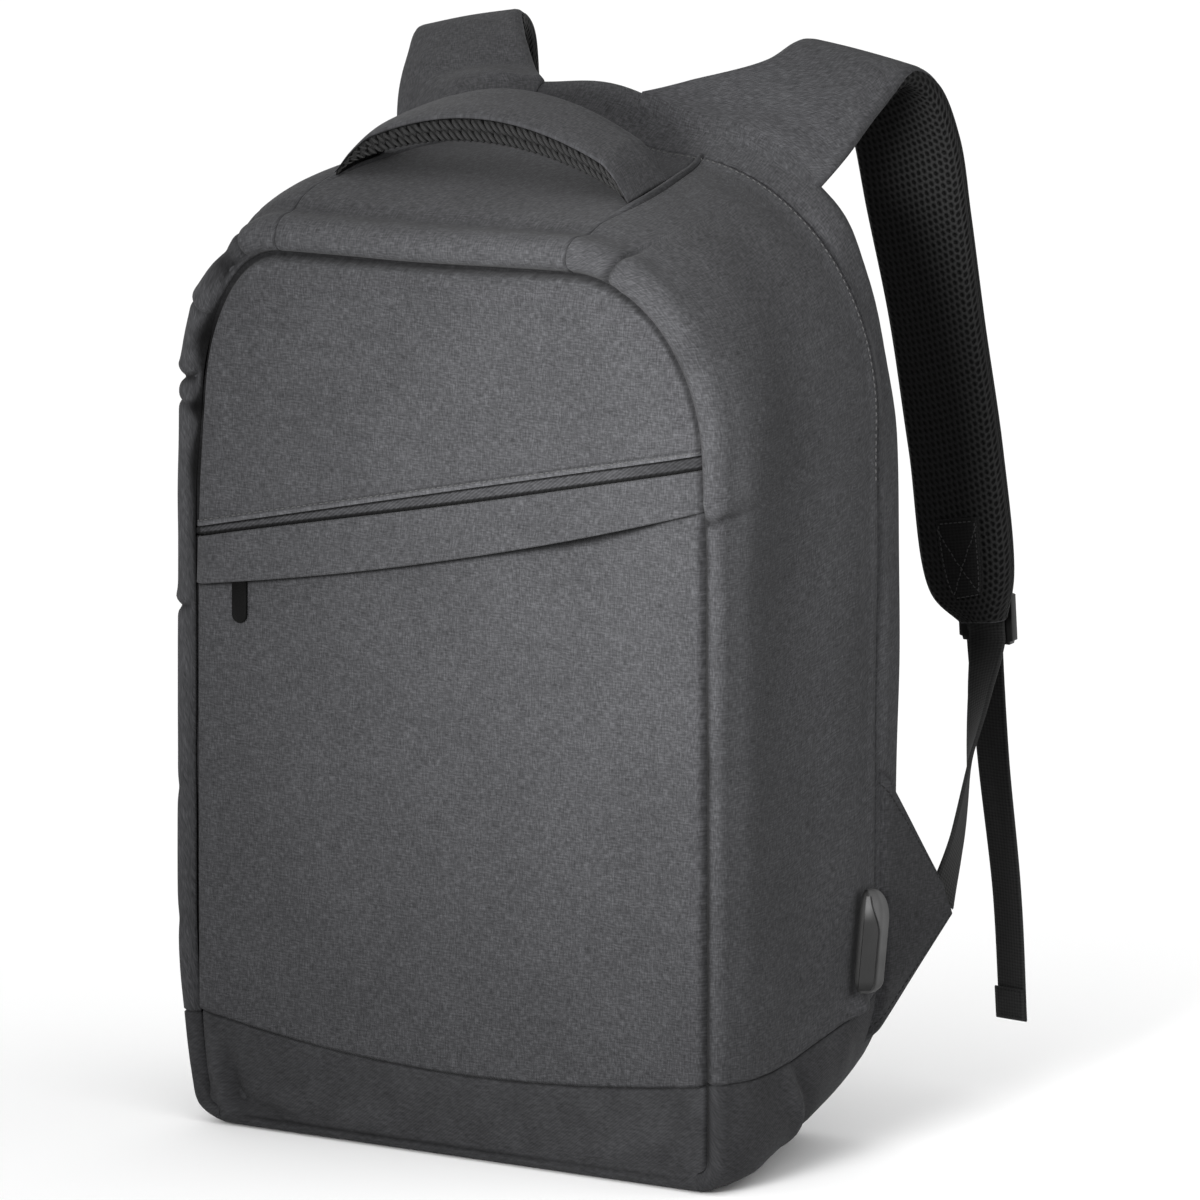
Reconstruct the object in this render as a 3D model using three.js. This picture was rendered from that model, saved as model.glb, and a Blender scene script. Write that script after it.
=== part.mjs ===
import * as THREE from 'three';

// An upright backpack in melange cloth with a darker twill base.
// Millimetres, +Z up. The front faces -Y and the origin is the middle of the flat base.
// Left and right are as seen from the front. A depth is measured back from the front of the edge roll.

const { lerp, smoothstep, degToRad } = THREE.MathUtils;

// Driving sizes
const DEPTH = 142;
const RIDGE_DEPTH = 117;
const CLEARANCE = 0.5;
const SIDE_WALL = 3;
const PANEL_WALL = 4;
const BACK_WALL = 8;
const BASE_WALL = 3;
const FLAP_WALL = 1.6;
const ZIP_WALL = 2;
const ROLL_RADIUS_LOW = 5;
const ROLL_RADIUS_HIGH = 8;
const ROLL_START = degToRad(-50);
const ROLL_SWELL_FROM = 260;
const ROLL_SWELL_TO = 380;
const BACK_EDGE_RADIUS = 10;
const BACK_ZIP_WIDTH = 7;
const BACK_CROWN = 5;
const LOW_HEIGHT = 90;
const SHOULDER_HEIGHT = 330;

// Outline of the body, one row for each depth. Right and left tops are the ends of the flat top, where the
// top seams run: the right seam lies a shift further down its corner. "Corner" values are the rises of the
// rounded corners.
const OUTLINE = [
  { depth: 0, halfLow: 148, halfHigh: 147, seamRight: 65, seamLeft: -92, topRight: 415, topLeft: 409,
    arch: -1, cornerRight: 88, cornerLeft: 78, cornerLow: 13, seamShift: 0 },
  { depth: 25, halfLow: 149, halfHigh: 148, seamRight: 63, seamLeft: -93, topRight: 422, topLeft: 420,
    arch: 0, cornerRight: 91, cornerLeft: 84, cornerLow: 18, seamShift: 5 },
  { depth: 48, halfLow: 150, halfHigh: 149, seamRight: 60, seamLeft: -91, topRight: 428, topLeft: 427,
    arch: 1, cornerRight: 94, cornerLeft: 89, cornerLow: 30, seamShift: 11 },
  { depth: 85, halfLow: 150, halfHigh: 150, seamRight: 54, seamLeft: -83, topRight: 433, topLeft: 433,
    arch: 3, cornerRight: 99, cornerLeft: 95, cornerLow: 56, seamShift: 11 },
  { depth: 117, halfLow: 149, halfHigh: 150, seamRight: 46, seamLeft: -73, topRight: 438, topLeft: 439,
    arch: 8, cornerRight: 108, cornerLeft: 103, cornerLow: 78, seamShift: 11 },
  { depth: 142, halfLow: 147, halfHigh: 148, seamRight: 44, seamLeft: -58, topRight: 456, topLeft: 466,
    arch: 7, cornerRight: 139, cornerLeft: 149, cornerLow: 96, seamShift: 11 },
];

// Height of the base's top seam along the side, one row for each depth
const BASE_SEAM = [
  { depth: 0, height: 49 },
  { depth: 45, height: 50 },
  { depth: 76, height: 57 },
  { depth: 110, height: 68 },
  { depth: 142, height: 80 },
];

// The slanted pocket and the base seam on the front
const POCKET_LEFT_HEIGHT = 269;
const POCKET_RISE = 59;
const POCKET_SPAN = 273;
const POCKET_TAPE = 5.5;
const POCKET_FLAP = 18.5;
const FLAP_LIFT = 1.8;
const FLAP_SAG = 5.4;
const FRONT_SEAM_HEIGHT = 38;
const FRONT_SEAM_SMILE = 11.8;
const FRONT_SEAM_LEAN = -1.8;
const PANEL_HALF = 140;
const PANEL_DIP = 2.6;
const PANEL_DIP_REACH = 14;
const PANEL_CROWN = 2.5;
const FRONT_EDGE_RADIUS = 8;
const FRONT_EDGE_UNDER = 14;

// Colours and finishes
const FINISH = {
  melange: { color: 0x5a5a5e, roughness: 0.95, metalness: 0 },
  twill: { color: 0x434345, roughness: 0.92, metalness: 0 },
  mesh: { color: 0x131313, roughness: 0.9, metalness: 0 },
  webbing: { color: 0x1c1c1d, roughness: 0.85, metalness: 0 },
  tape: { color: 0x3c3c3f, roughness: 0.9, metalness: 0 },
  plastic: { color: 0x1a1a1c, roughness: 0.45, metalness: 0 },
  rubber: { color: 0x4c4c4e, roughness: 0.5, metalness: 0 },
};

const backpack = new THREE.Group();

function addPiece(name, geometry, finish, parent = backpack) {
  const mesh = new THREE.Mesh(geometry, new THREE.MeshStandardMaterial(FINISH[finish]));
  mesh.name = name;
  parent.add(mesh);
  return mesh;
}

// Values of a table's columns at one depth, on a smooth curve through its rows.
function rowAt(table, depth) {
  const last = table.length - 1;
  let i = 0;
  while (i < last - 1 && depth > table[i + 1].depth) i += 1;
  const before = table[Math.max(i - 1, 0)];
  const after = table[Math.min(i + 2, last)];
  const [low, high] = [table[i], table[i + 1]];
  const span = high.depth - low.depth;
  const t = (depth - low.depth) / span;
  const row = {};
  for (const column of Object.keys(low)) {
    const slopeLow = (high[column] - before[column]) / (high.depth - before.depth);
    const slopeHigh = (after[column] - low[column]) / (after.depth - low.depth);
    row[column] = (2 * t ** 3 - 3 * t ** 2 + 1) * low[column]
      + (t ** 3 - 2 * t ** 2 + t) * span * slopeLow
      + (3 * t ** 2 - 2 * t ** 3) * high[column]
      + (t ** 3 - t ** 2) * span * slopeHigh;
  }
  return row;
}

// The closed outline at one depth, from the bottom left corner along the bottom, up the right side,
// over the top and down the left side. Its marks are lengths along it.
const loops = new Map();

function outlineLoop(depth) {
  const key = depth.toFixed(4);
  if (!loops.has(key)) loops.set(key, makeLoop(depth));
  return loops.get(key);
}

function makeLoop(depth) {
  const row = rowAt(OUTLINE, depth);
  const baseHeight = rowAt(BASE_SEAM, depth).height;
  const half = (z) => lerp(row.halfLow, row.halfHigh, smoothstep(z, LOW_HEIGHT, SHOULDER_HEIGHT));
  const low = row.cornerLow;
  const points = [];
  const marks = {};
  const indexOf = {};
  const mark = (name) => { indexOf[name] = points.length - 1; };

  const lowCorner = (side, a) => {
    const z = low * (1 - Math.cos(a));
    return [side * (half(z) - low * (1 - Math.sin(a))), z];
  };
  const topCorner = (side, a) => {
    const seam = side > 0 ? row.seamRight : row.seamLeft;
    const rise = side > 0 ? row.cornerRight : row.cornerLeft;
    const top = side > 0 ? row.topRight : row.topLeft;
    const z = top - rise * (1 - Math.sin(a));
    return [seam + (side * half(z) - seam) * Math.cos(a), z];
  };
  const run = (steps, at) => {
    for (let i = 1; i <= steps; i += 1) points.push(at(i / steps));
  };

  const [lowEnd] = lowCorner(1, 0);
  const quarter = Math.PI / 2;
  points.push([-lowEnd, 0]);
  mark('bottomLeft');
  run(12, (t) => [lerp(-lowEnd, lowEnd, t), 0]);
  mark('bottomRight');
  run(16, (t) => lowCorner(1, t * quarter));
  const sideTop = (side) => topCorner(side, 0)[1];
  run(24, (t) => [half(lerp(low, sideTop(1), t)), lerp(low, sideTop(1), t)]);
  mark('shoulderRight');
  run(12, (t) => topCorner(1, t * quarter / 2));
  mark('cornerRight');
  run(12, (t) => topCorner(1, (1 + t) * quarter / 2));
  mark('seamRight');
  run(20, (t) => {
    const x = lerp(row.seamRight, row.seamLeft, t);
    return [x, lerp(row.topRight, row.topLeft, t) + row.arch * Math.sin(Math.PI * t) ** 2];
  });
  mark('seamLeft');
  run(12, (t) => topCorner(-1, (2 - t) * quarter / 2));
  mark('cornerLeft');
  run(12, (t) => topCorner(-1, (1 - t) * quarter / 2));
  mark('shoulderLeft');
  run(24, (t) => [-half(lerp(sideTop(-1), low, t)), lerp(sideTop(-1), low, t)]);
  run(16, (t) => lowCorner(-1, (1 - t) * quarter));
  mark('end');

  const lengths = [0];
  for (let i = 1; i < points.length; i += 1) {
    const [x, z] = points[i];
    const [px, pz] = points[i - 1];
    lengths.push(lengths[i - 1] + Math.hypot(x - px, z - pz));
  }
  for (const name of Object.keys(indexOf)) marks[name] = lengths[indexOf[name]];
  marks.seamRight -= row.seamShift;
  const loop = { points, lengths, marks };
  const aboveBase = (length) => loopPoint(loop, length)[1] - baseHeight;
  marks.baseRight = crossing(marks.bottomRight, marks.seamRight, aboveBase);
  marks.baseLeft = crossing(marks.end, marks.seamLeft, aboveBase);
  return loop;
}

// The length between two lengths where a test passes from below to above zero.
function crossing(from, to, test) {
  let [low, high] = [from, to];
  for (let i = 0; i < 40; i += 1) {
    const middle = (low + high) / 2;
    if (test(middle) < 0) low = middle;
    else high = middle;
  }
  return (low + high) / 2;
}

// The point at a length along a loop, moved in from it by an inset, with smooth normals.
function loopPoint(loop, length, inset = 0) {
  const { points, lengths } = loop;
  const last = points.length - 1;
  let [a, b] = [0, last];
  while (b - a > 1) {
    const middle = Math.floor((a + b) / 2);
    if (lengths[middle] <= length) a = middle;
    else b = middle;
  }
  const t = (length - lengths[a]) / (lengths[b] - lengths[a]);
  const tangent = (i) => {
    const next = points[i === last ? 1 : i + 1];
    const back = points[i === 0 ? last - 1 : i - 1];
    const [dx, dz] = [next[0] - back[0], next[1] - back[1]];
    const size = Math.hypot(dx, dz);
    return [dx / size, dz / size];
  };
  const [t0, t1] = [tangent(a), tangent(b)];
  const normal = [lerp(t0[1], t1[1], t), -lerp(t0[0], t1[0], t)];
  const size = Math.hypot(...normal);
  return [
    lerp(points[a][0], points[b][0], t) - inset * normal[0] / size,
    lerp(points[a][1], points[b][1], t) - inset * normal[1] / size,
  ];
}

// Radius of the puffy front edge at one height: it swells towards the top.
function rollRadius(z) {
  return lerp(ROLL_RADIUS_LOW, ROLL_RADIUS_HIGH, smoothstep(z, ROLL_SWELL_FROM, ROLL_SWELL_TO));
}

// A point of the shell along a route of marks on the outline. Each stretch of the route takes its own
// share of the fraction, and the section gives an inset and a depth for the front edge's radius there.
function shellPoint(route, fraction, at, gap = CLEARANCE / 2) {
  const place = (depth) => {
    const { marks } = outlineLoop(depth);
    let start = 0;
    let i = 0;
    while (i < route.length - 2 && fraction > start + route[i + 1].share) {
      start += route[i + 1].share;
      i += 1;
    }
    const t = (fraction - start) / route[i + 1].share;
    const from = marks[route[i].mark] + (i === 0 ? gap : 0);
    const to = marks[route[i + 1].mark] - (i === route.length - 2 ? gap : 0);
    return lerp(from, to, t);
  };
  const [, height] = loopPoint(outlineLoop(0), place(0));
  const { inset, depth } = at(rollRadius(height));
  const [x, z] = loopPoint(outlineLoop(depth), place(depth), inset);
  return new THREE.Vector3(x, depth - DEPTH / 2, z);
}

// A closed solid between an outer and an inner grid. Both are functions of u and v from 0 to 1.
function slab(columns, rows, outer, inner) {
  const positions = [];
  const faces = [];
  const wide = rows + 1;
  const layer = (columns + 1) * wide;
  for (const surface of [outer, inner]) {
    for (let i = 0; i <= columns; i += 1) {
      for (let j = 0; j <= rows; j += 1) positions.push(...surface(i / columns, j / rows).toArray());
    }
  }
  const quad = (a, b, c, d) => faces.push(a, b, c, a, c, d);
  for (let i = 0; i < columns; i += 1) {
    for (let j = 0; j < rows; j += 1) {
      const a = i * wide + j;
      quad(a, a + wide, a + wide + 1, a + 1);
      quad(layer + a, layer + a + 1, layer + a + wide + 1, layer + a + wide);
    }
  }
  for (let i = 0; i < columns; i += 1) {
    const a = i * wide;
    const b = a + rows;
    quad(a, layer + a, layer + a + wide, a + wide);
    quad(b, b + wide, layer + b + wide, layer + b);
  }
  for (let j = 0; j < rows; j += 1) {
    const b = columns * wide + j;
    quad(j, j + 1, layer + j + 1, layer + j);
    quad(b, layer + b, layer + b + 1, b + 1);
  }
  const geometry = new THREE.BufferGeometry();
  geometry.setAttribute('position', new THREE.Float32BufferAttribute(positions, 3));
  geometry.setIndex(faces);
  geometry.computeVertexNormals();
  return geometry;
}

// A wall behind an outer surface, whose u direction crossed with its v direction points outwards.
function wall(columns, rows, surface, thickness) {
  const step = 1e-3;
  const inner = (u, v) => {
    const along = surface(u + step, v).sub(surface(u - step, v));
    const across = surface(u, v + step).sub(surface(u, v - step));
    return surface(u, v).addScaledVector(along.cross(across).normalize(), -thickness);
  };
  return slab(columns, rows, surface, inner);
}

// A patch bounded by four curves of points in the plane, each a function from 0 to 1.
function patch(bottom, top, left, right) {
  const corner = { bl: left(0), br: right(0), tl: left(1), tr: right(1) };
  return (u, v) => [0, 1].map((k) => (1 - v) * bottom(u)[k] + v * top(u)[k]
    + (1 - u) * left(v)[k] + u * right(v)[k]
    - (1 - u) * (1 - v) * corner.bl[k] - u * (1 - v) * corner.br[k]
    - (1 - u) * v * corner.tl[k] - u * v * corner.tr[k]);
}

// Mirrors a solid to the left side.
function mirrored(geometry) {
  const copy = geometry.clone();
  copy.scale(-1, 1, 1);
  const index = copy.getIndex();
  for (let i = 0; i < index.count; i += 3) {
    const kept = index.getX(i + 1);
    index.setX(i + 1, index.getX(i + 2));
    index.setX(i + 2, kept);
  }
  copy.computeVertexNormals();
  return copy;
}

// Sections from front to back: the edge roll, the flat stretch and the rounded back edge
function rollSection(t, radius) {
  const a = lerp(ROLL_START, Math.PI / 2, t);
  return { inset: radius * (1 - Math.sin(a)), depth: radius * (1 - Math.cos(a)) };
}

function backEdgeSection(t) {
  const a = t * Math.PI / 2;
  return {
    inset: BACK_EDGE_RADIUS * (1 - Math.cos(a)),
    depth: DEPTH - BACK_EDGE_RADIUS * (1 - Math.sin(a)),
  };
}

// Joins stretches of a section, each with the share of the whole that it takes.
function section(stretches) {
  const last = stretches.length - 1;
  return (w) => (radius) => {
    let start = 0;
    let i = 0;
    while (i < last && w > start + stretches[i].share) {
      start += stretches[i].share;
      i += 1;
    }
    return stretches[i].at((w - start) / stretches[i].share, radius);
  };
}

// At the back a zip lies inside the rounded edge, and below it the base has a flat hem instead.
const zipInset = BACK_EDGE_RADIUS + CLEARANCE;
const hemSection = (t) => ({ inset: lerp(BACK_EDGE_RADIUS, zipInset + BACK_ZIP_WIDTH, t), depth: DEPTH });
const flatStretch = (from, to) => (t) => ({ inset: 0, depth: lerp(from, to, t) });
const behindRoll = (to) => (t, radius) => ({ inset: 0, depth: lerp(radius, to, t) });

const gussetSection = section([
  { share: 0.42, at: rollSection },
  { share: 0.58, at: behindRoll(RIDGE_DEPTH - CLEARANCE / 2) },
]);
const bandSection = section([
  { share: 0.4, at: flatStretch(RIDGE_DEPTH + CLEARANCE / 2, DEPTH - BACK_EDGE_RADIUS) },
  { share: 0.6, at: backEdgeSection },
]);
const baseSideSection = section([
  { share: 0.33, at: rollSection },
  { share: 0.39, at: behindRoll(DEPTH - BACK_EDGE_RADIUS) },
  { share: 0.2, at: backEdgeSection },
  { share: 0.08, at: hemSection },
]);
const bottomSection = section([
  { share: 0.67, at: flatStretch(FRONT_EDGE_UNDER + CLEARANCE, DEPTH - BACK_EDGE_RADIUS) },
  { share: 0.24, at: backEdgeSection },
  { share: 0.09, at: hemSection },
]);

// Routes round the outline. A share is the part of a piece's rows that a stretch takes.
const RIGHT_SIDE = [
  { mark: 'baseRight' },
  { mark: 'shoulderRight', share: 0.42 },
  { mark: 'seamRight', share: 0.58 },
];
const LEFT_SIDE = [
  { mark: 'seamLeft' },
  { mark: 'shoulderLeft', share: 0.58 },
  { mark: 'baseLeft', share: 0.42 },
];
const TOP = [{ mark: 'seamRight' }, { mark: 'seamLeft', share: 1 }];
const BASE_RIGHT = [{ mark: 'bottomRight' }, { mark: 'baseRight', share: 1 }];
const BASE_LEFT = [{ mark: 'baseLeft' }, { mark: 'end', share: 1 }];
const BOTTOM = [{ mark: 'bottomLeft' }, { mark: 'bottomRight', share: 1 }];
const ARCH = [
  { mark: 'baseRight' },
  { mark: 'shoulderRight', share: 0.2 },
  { mark: 'seamRight', share: 0.2 },
  { mark: 'seamLeft', share: 0.2 },
  { mark: 'shoulderLeft', share: 0.2 },
  { mark: 'baseLeft', share: 0.2 },
];
const BOTTOM_GAP = 1.5;

function shellPiece(name, finish, route, at, columns, rows, thickness, gap) {
  addPiece(name, wall(columns, rows, (u, v) => shellPoint(route, v, at(u), gap), thickness), finish);
}

shellPiece('side_right', 'melange', RIGHT_SIDE, gussetSection, 11, 18, SIDE_WALL);
shellPiece('side_left', 'melange', LEFT_SIDE, gussetSection, 11, 18, SIDE_WALL);
shellPiece('top_gusset', 'melange', TOP, gussetSection, 11, 8, SIDE_WALL);
shellPiece('base_side_right', 'twill', BASE_RIGHT, baseSideSection, 13, 6, BASE_WALL);
shellPiece('base_side_left', 'twill', BASE_LEFT, baseSideSection, 13, 6, BASE_WALL);
shellPiece('base_bottom', 'twill', BOTTOM, bottomSection, 11, 8, BASE_WALL, BOTTOM_GAP);
shellPiece('back_band', 'melange', ARCH, bandSection, 4, 40, SIDE_WALL);

// Front panels, inside the edge roll
const PANEL_DEPTH = 3;
const PANEL_GAP = 0.8;
const frontLoop = outlineLoop(PANEL_DEPTH);

// A point of the panels' edge, at a length along the front outline
function panelEdge(length) {
  const [, height] = loopPoint(frontLoop, length);
  return loopPoint(frontLoop, length, rollSection(0, rollRadius(height)).inset + PANEL_GAP);
}

const frontEdge = frontLoop.lengths.map(panelEdge);

// Depth of the front cloth: sunk at its seam and crowned in the middle
function panelDepth(x, z) {
  const distance = Math.min(...frontEdge.map(([ex, ez]) => Math.hypot(x - ex, z - ez)));
  const sunk = PANEL_DIP * (1 - smoothstep(distance, 0, PANEL_DIP_REACH));
  const across = Math.max(0, 1 - (x / PANEL_HALF) ** 2);
  const up = Math.sin(Math.PI * Math.min(1, z / SHOULDER_HEIGHT));
  return sunk - PANEL_CROWN * across * up;
}

const pocketLine = (drop) => (x) => POCKET_LEFT_HEIGHT + POCKET_RISE * (x / POCKET_SPAN + 0.5) - drop;
const frontSeam = (x) => FRONT_SEAM_HEIGHT + FRONT_SEAM_SMILE * (x / PANEL_HALF) ** 2
  + FRONT_SEAM_LEAN * x / PANEL_HALF;

// The lengths along the front outline, left and right, where a line across the panel meets its edge
function lineEnds(line) {
  const { marks } = frontLoop;
  const above = (length) => {
    const [x, z] = panelEdge(length);
    return z - line(x);
  };
  return {
    left: crossing(marks.end, marks.cornerLeft, above),
    right: crossing(marks.bottomRight, marks.cornerRight, above),
  };
}

function lineCurve(line) {
  const ends = lineEnds(line);
  const [left] = panelEdge(ends.left);
  const [right] = panelEdge(ends.right);
  return (t) => {
    const x = lerp(left, right, t);
    return [x, line(x)];
  };
}

// A stretch of the front between two lines, or between a line and the rounded top
function frontPatch(lowLine, highLine) {
  const low = lineEnds(lowLine);
  const high = highLine ? lineEnds(highLine)
    : { left: frontLoop.marks.cornerLeft, right: frontLoop.marks.cornerRight };
  const top = highLine ? lineCurve(highLine) : (t) => panelEdge(lerp(high.left, high.right, t));
  return patch(
    lineCurve(lowLine),
    top,
    (t) => panelEdge(lerp(low.left, high.left, t)),
    (t) => panelEdge(lerp(low.right, high.right, t)),
  );
}

function frontPiece(name, finish, at, columns, rows, thickness, lift = () => 0) {
  const face = (back) => (u, v) => {
    const [x, z] = at(u, v);
    return new THREE.Vector3(x, panelDepth(x, z) - lift(v) + back - DEPTH / 2, z);
  };
  addPiece(name, slab(columns, rows, face(0), face(thickness)), finish);
}

const tapeBottom = POCKET_TAPE + CLEARANCE;
const flapTop = tapeBottom + CLEARANCE;
const flapBottom = flapTop + POCKET_FLAP;
const lowerTop = flapTop + CLEARANCE;
const seamAbove = (x) => frontSeam(x) + CLEARANCE / 2;
const seamBelow = (x) => frontSeam(x) - CLEARANCE;
const flapEdge = (x) => pocketLine(flapBottom)(x) - FLAP_SAG * (1 - (x / PANEL_HALF) ** 2);
const flapLift = (v) => FLAP_WALL + CLEARANCE + FLAP_LIFT * (1 - v);

frontPiece('front_panel_upper', 'melange', frontPatch(pocketLine(0)), 20, 8, PANEL_WALL);
frontPiece('pocket_tape', 'tape', frontPatch(pocketLine(tapeBottom), pocketLine(CLEARANCE)), 20, 1,
  PANEL_WALL);
frontPiece('pocket_flap', 'melange', frontPatch(flapEdge, pocketLine(flapTop)), 20, 3, FLAP_WALL, flapLift);
frontPiece('front_panel_lower', 'melange', frontPatch(seamAbove, pocketLine(lowerTop)), 18, 9, PANEL_WALL);

// The puller hangs between the lower panel and the flap's free edge.
const PULLER = { x: -111, width: 8, hidden: 3, shown: 19, thickness: 1.2 };

function puller() {
  const edge = flapEdge(PULLER.x);
  const half = PULLER.width / 2;
  const shape = new THREE.Shape();
  const low = edge - PULLER.shown + half;
  shape.moveTo(half, edge + PULLER.hidden);
  shape.lineTo(-half, edge + PULLER.hidden);
  shape.lineTo(-half, low);
  shape.absarc(0, low, half, Math.PI, 2 * Math.PI, false);
  shape.closePath();
  const geometry = new THREE.ExtrudeGeometry(shape,
    { depth: PULLER.thickness, bevelEnabled: false, curveSegments: 8 });
  geometry.rotateX(Math.PI / 2);
  const face = panelDepth(PULLER.x, edge) - CLEARANCE;
  geometry.translate(PULLER.x, face - DEPTH / 2, 0);
  return geometry;
}

addPiece('zip_puller', puller(), 'plastic');

// Front of the base: down the front, round the bottom edge and a little way under.
// Its sides run beside the edge roll and draw in below it.
const BASE_FRONT_SHARE = { down: 0.55, round: 0.33, under: 0.12 };
const BASE_FRONT_INSET = { corner: 14.2, under: 18, from: 9, to: 20 };

function baseFrontPoint(u, v) {
  const { down: downShare, round: roundShare, under: underShare } = BASE_FRONT_SHARE;
  const down = Math.min(v / downShare, 1);
  const round = THREE.MathUtils.clamp((v - downShare) / roundShare, 0, 1) * Math.PI / 2;
  const under = Math.max((v - downShare - roundShare) / underShare, 0);
  const beside = rollSection(0, ROLL_RADIUS_LOW).inset + PANEL_GAP;
  const { corner, under: below, from, to } = BASE_FRONT_INSET;
  const inset = (z) => lerp(corner, beside, smoothstep(z, from, to)) + under * (below - corner);
  const side = (z) => OUTLINE[0].halfLow - inset(z);
  const across = 2 * u - 1;
  const top = seamBelow(across * side(to));
  const height = lerp(top, FRONT_EDGE_RADIUS, down);
  const x = across * side(height);
  const start = panelDepth(x, top) * (1 - down);
  if (round === 0) return new THREE.Vector3(x, start - DEPTH / 2, height);
  const z = FRONT_EDGE_RADIUS * (1 - Math.sin(round));
  const depth = FRONT_EDGE_RADIUS * (1 - Math.cos(round)) + under * (FRONT_EDGE_UNDER - FRONT_EDGE_RADIUS);
  return new THREE.Vector3(x, depth - DEPTH / 2, z);
}

addPiece('base_front', wall(16, 9, (u, v) => baseFrontPoint(u, 1 - v), BASE_WALL), 'twill');

// Closed zip round the back edge, and the padded back inside it
const backInset = zipInset + BACK_ZIP_WIDTH + 2 * PANEL_GAP;
const zipSection = (u) => () => ({ inset: zipInset + BACK_ZIP_WIDTH * u, depth: DEPTH });
shellPiece('main_zip', 'webbing', ARCH, zipSection, 1, 40, ZIP_WALL);

function backPanel() {
  const loop = outlineLoop(DEPTH);
  const { marks } = loop;
  const edge = (length) => loopPoint(loop, length, backInset);
  const lowRight = (marks.bottomRight + marks.baseRight) / 2;
  const lowLeft = (marks.end + marks.baseLeft) / 2;
  const across = patch(
    (t) => edge(t < 0.5 ? lerp(lowRight, (marks.bottomLeft + marks.bottomRight) / 2, 2 * t)
      : lerp((marks.bottomLeft + marks.bottomRight) / 2 + marks.end, lowLeft, 2 * t - 1) % marks.end),
    (t) => edge(lerp(marks.cornerRight, marks.cornerLeft, t)),
    (t) => edge(lerp(lowRight, marks.cornerRight, t)),
    (t) => edge(lerp(lowLeft, marks.cornerLeft, t)),
  );
  const surface = (u, v) => {
    const [x, z] = across(u, v);
    const bulge = (16 * u * (1 - u) * v * (1 - v)) ** 0.35;
    return new THREE.Vector3(x, DEPTH / 2 + BACK_CROWN * bulge, z);
  };
  const inside = (u, v) => {
    const [x, z] = across(u, v);
    return new THREE.Vector3(x, DEPTH / 2 - BACK_WALL + BACK_CROWN, z);
  };
  return slab(12, 14, surface, inside);
}

addPiece('back_panel', backPanel(), 'mesh');

// Height of the body's top at one place
function topHeight(x, depth) {
  const { points } = outlineLoop(depth);
  const top = points.findIndex(([px], i) => i > 0 && points[i - 1][1] > LOW_HEIGHT
    && points[i - 1][0] >= x && px <= x && points[i][1] > SHOULDER_HEIGHT / 2);
  const [[x0, z0], [x1, z1]] = [points[top - 1], points[top]];
  return lerp(z0, z1, (x - x0) / (x1 - x0 || 1));
}

// Grab handle: a padded strap arched over the top gusset, with mesh below
const HANDLE = {
  left: -90, right: 69, rightBack: 64, front: 42, back: 80, rise: 23, padding: 5.5, lining: 3.6, edge: 2.5,
  thinEnd: 0.45, thinReach: 0.13,
};

// Share of the handle's full thickness: it thins towards its sewn ends.
function handleShare(u) {
  return lerp(HANDLE.thinEnd, 1, smoothstep(Math.min(u, 1 - u), 0, HANDLE.thinReach));
}

function handleLayer(gap, bottom, top, edge, margin) {
  const at = (height, round) => (u, v) => {
    const x = lerp(HANDLE.left, lerp(HANDLE.right, HANDLE.rightBack, v), u);
    const depth = lerp(HANDLE.front + margin, HANDLE.back - margin, v);
    const lift = HANDLE.rise * Math.sin(Math.PI * u) ** 0.75;
    const drop = round * (2 * v - 1) ** 4;
    const z = topHeight(x, depth) + CLEARANCE + lift + gap + (height - drop) * handleShare(u);
    return new THREE.Vector3(x, depth - DEPTH / 2, z);
  };
  return slab(16, 4, at(top, edge), at(bottom, 0));
}

const handleTop = HANDLE.lining + HANDLE.padding;
addPiece('handle_mesh', handleLayer(0, 0, HANDLE.lining, 0, 1), 'mesh');
addPiece('handle_top', handleLayer(CLEARANCE, HANDLE.lining, handleTop, HANDLE.edge, 0), 'melange');

// Shoulder straps. Each row gives the inner and outer edge of a strap's middle layer, and the first row
// lies on the body's top.
const STRAP_START = { depth: 137, riseRight: -0.1, riseLeft: 0.9, bend: 0.14 };
const STRAP_RIGHT = [
  { inX: 14, inDepth: 137, outX: 106, outDepth: 137 },
  { inX: 32, inDepth: 147, inHeight: 462.5, outX: 111, outDepth: 150, outHeight: 438 },
  { inX: 56, inDepth: 165, inHeight: 472.5, outX: 115, outDepth: 171, outHeight: 457 },
  { inX: 62, inDepth: 184, inHeight: 479, outX: 118, outDepth: 190, outHeight: 469 },
  { inX: 66, inDepth: 201, inHeight: 470.5, outX: 121.5, outDepth: 206, outHeight: 462 },
  { inX: 72.5, inDepth: 210, inHeight: 444, outX: 126, outDepth: 216, outHeight: 438 },
  { inX: 79, inDepth: 215, inHeight: 404, outX: 130, outDepth: 219, outHeight: 404 },
  { inX: 86.5, inDepth: 222, inHeight: 355, outX: 135, outDepth: 222.5, outHeight: 356 },
  { inX: 92.5, inDepth: 229, inHeight: 295, outX: 140, outDepth: 230, outHeight: 298 },
  { inX: 98.5, inDepth: 236.5, inHeight: 234, outX: 141.5, outDepth: 237, outHeight: 240 },
  { inX: 113, inDepth: 240, inHeight: 217.5, outX: 136, outDepth: 239.5, outHeight: 219.5 },
];
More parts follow.
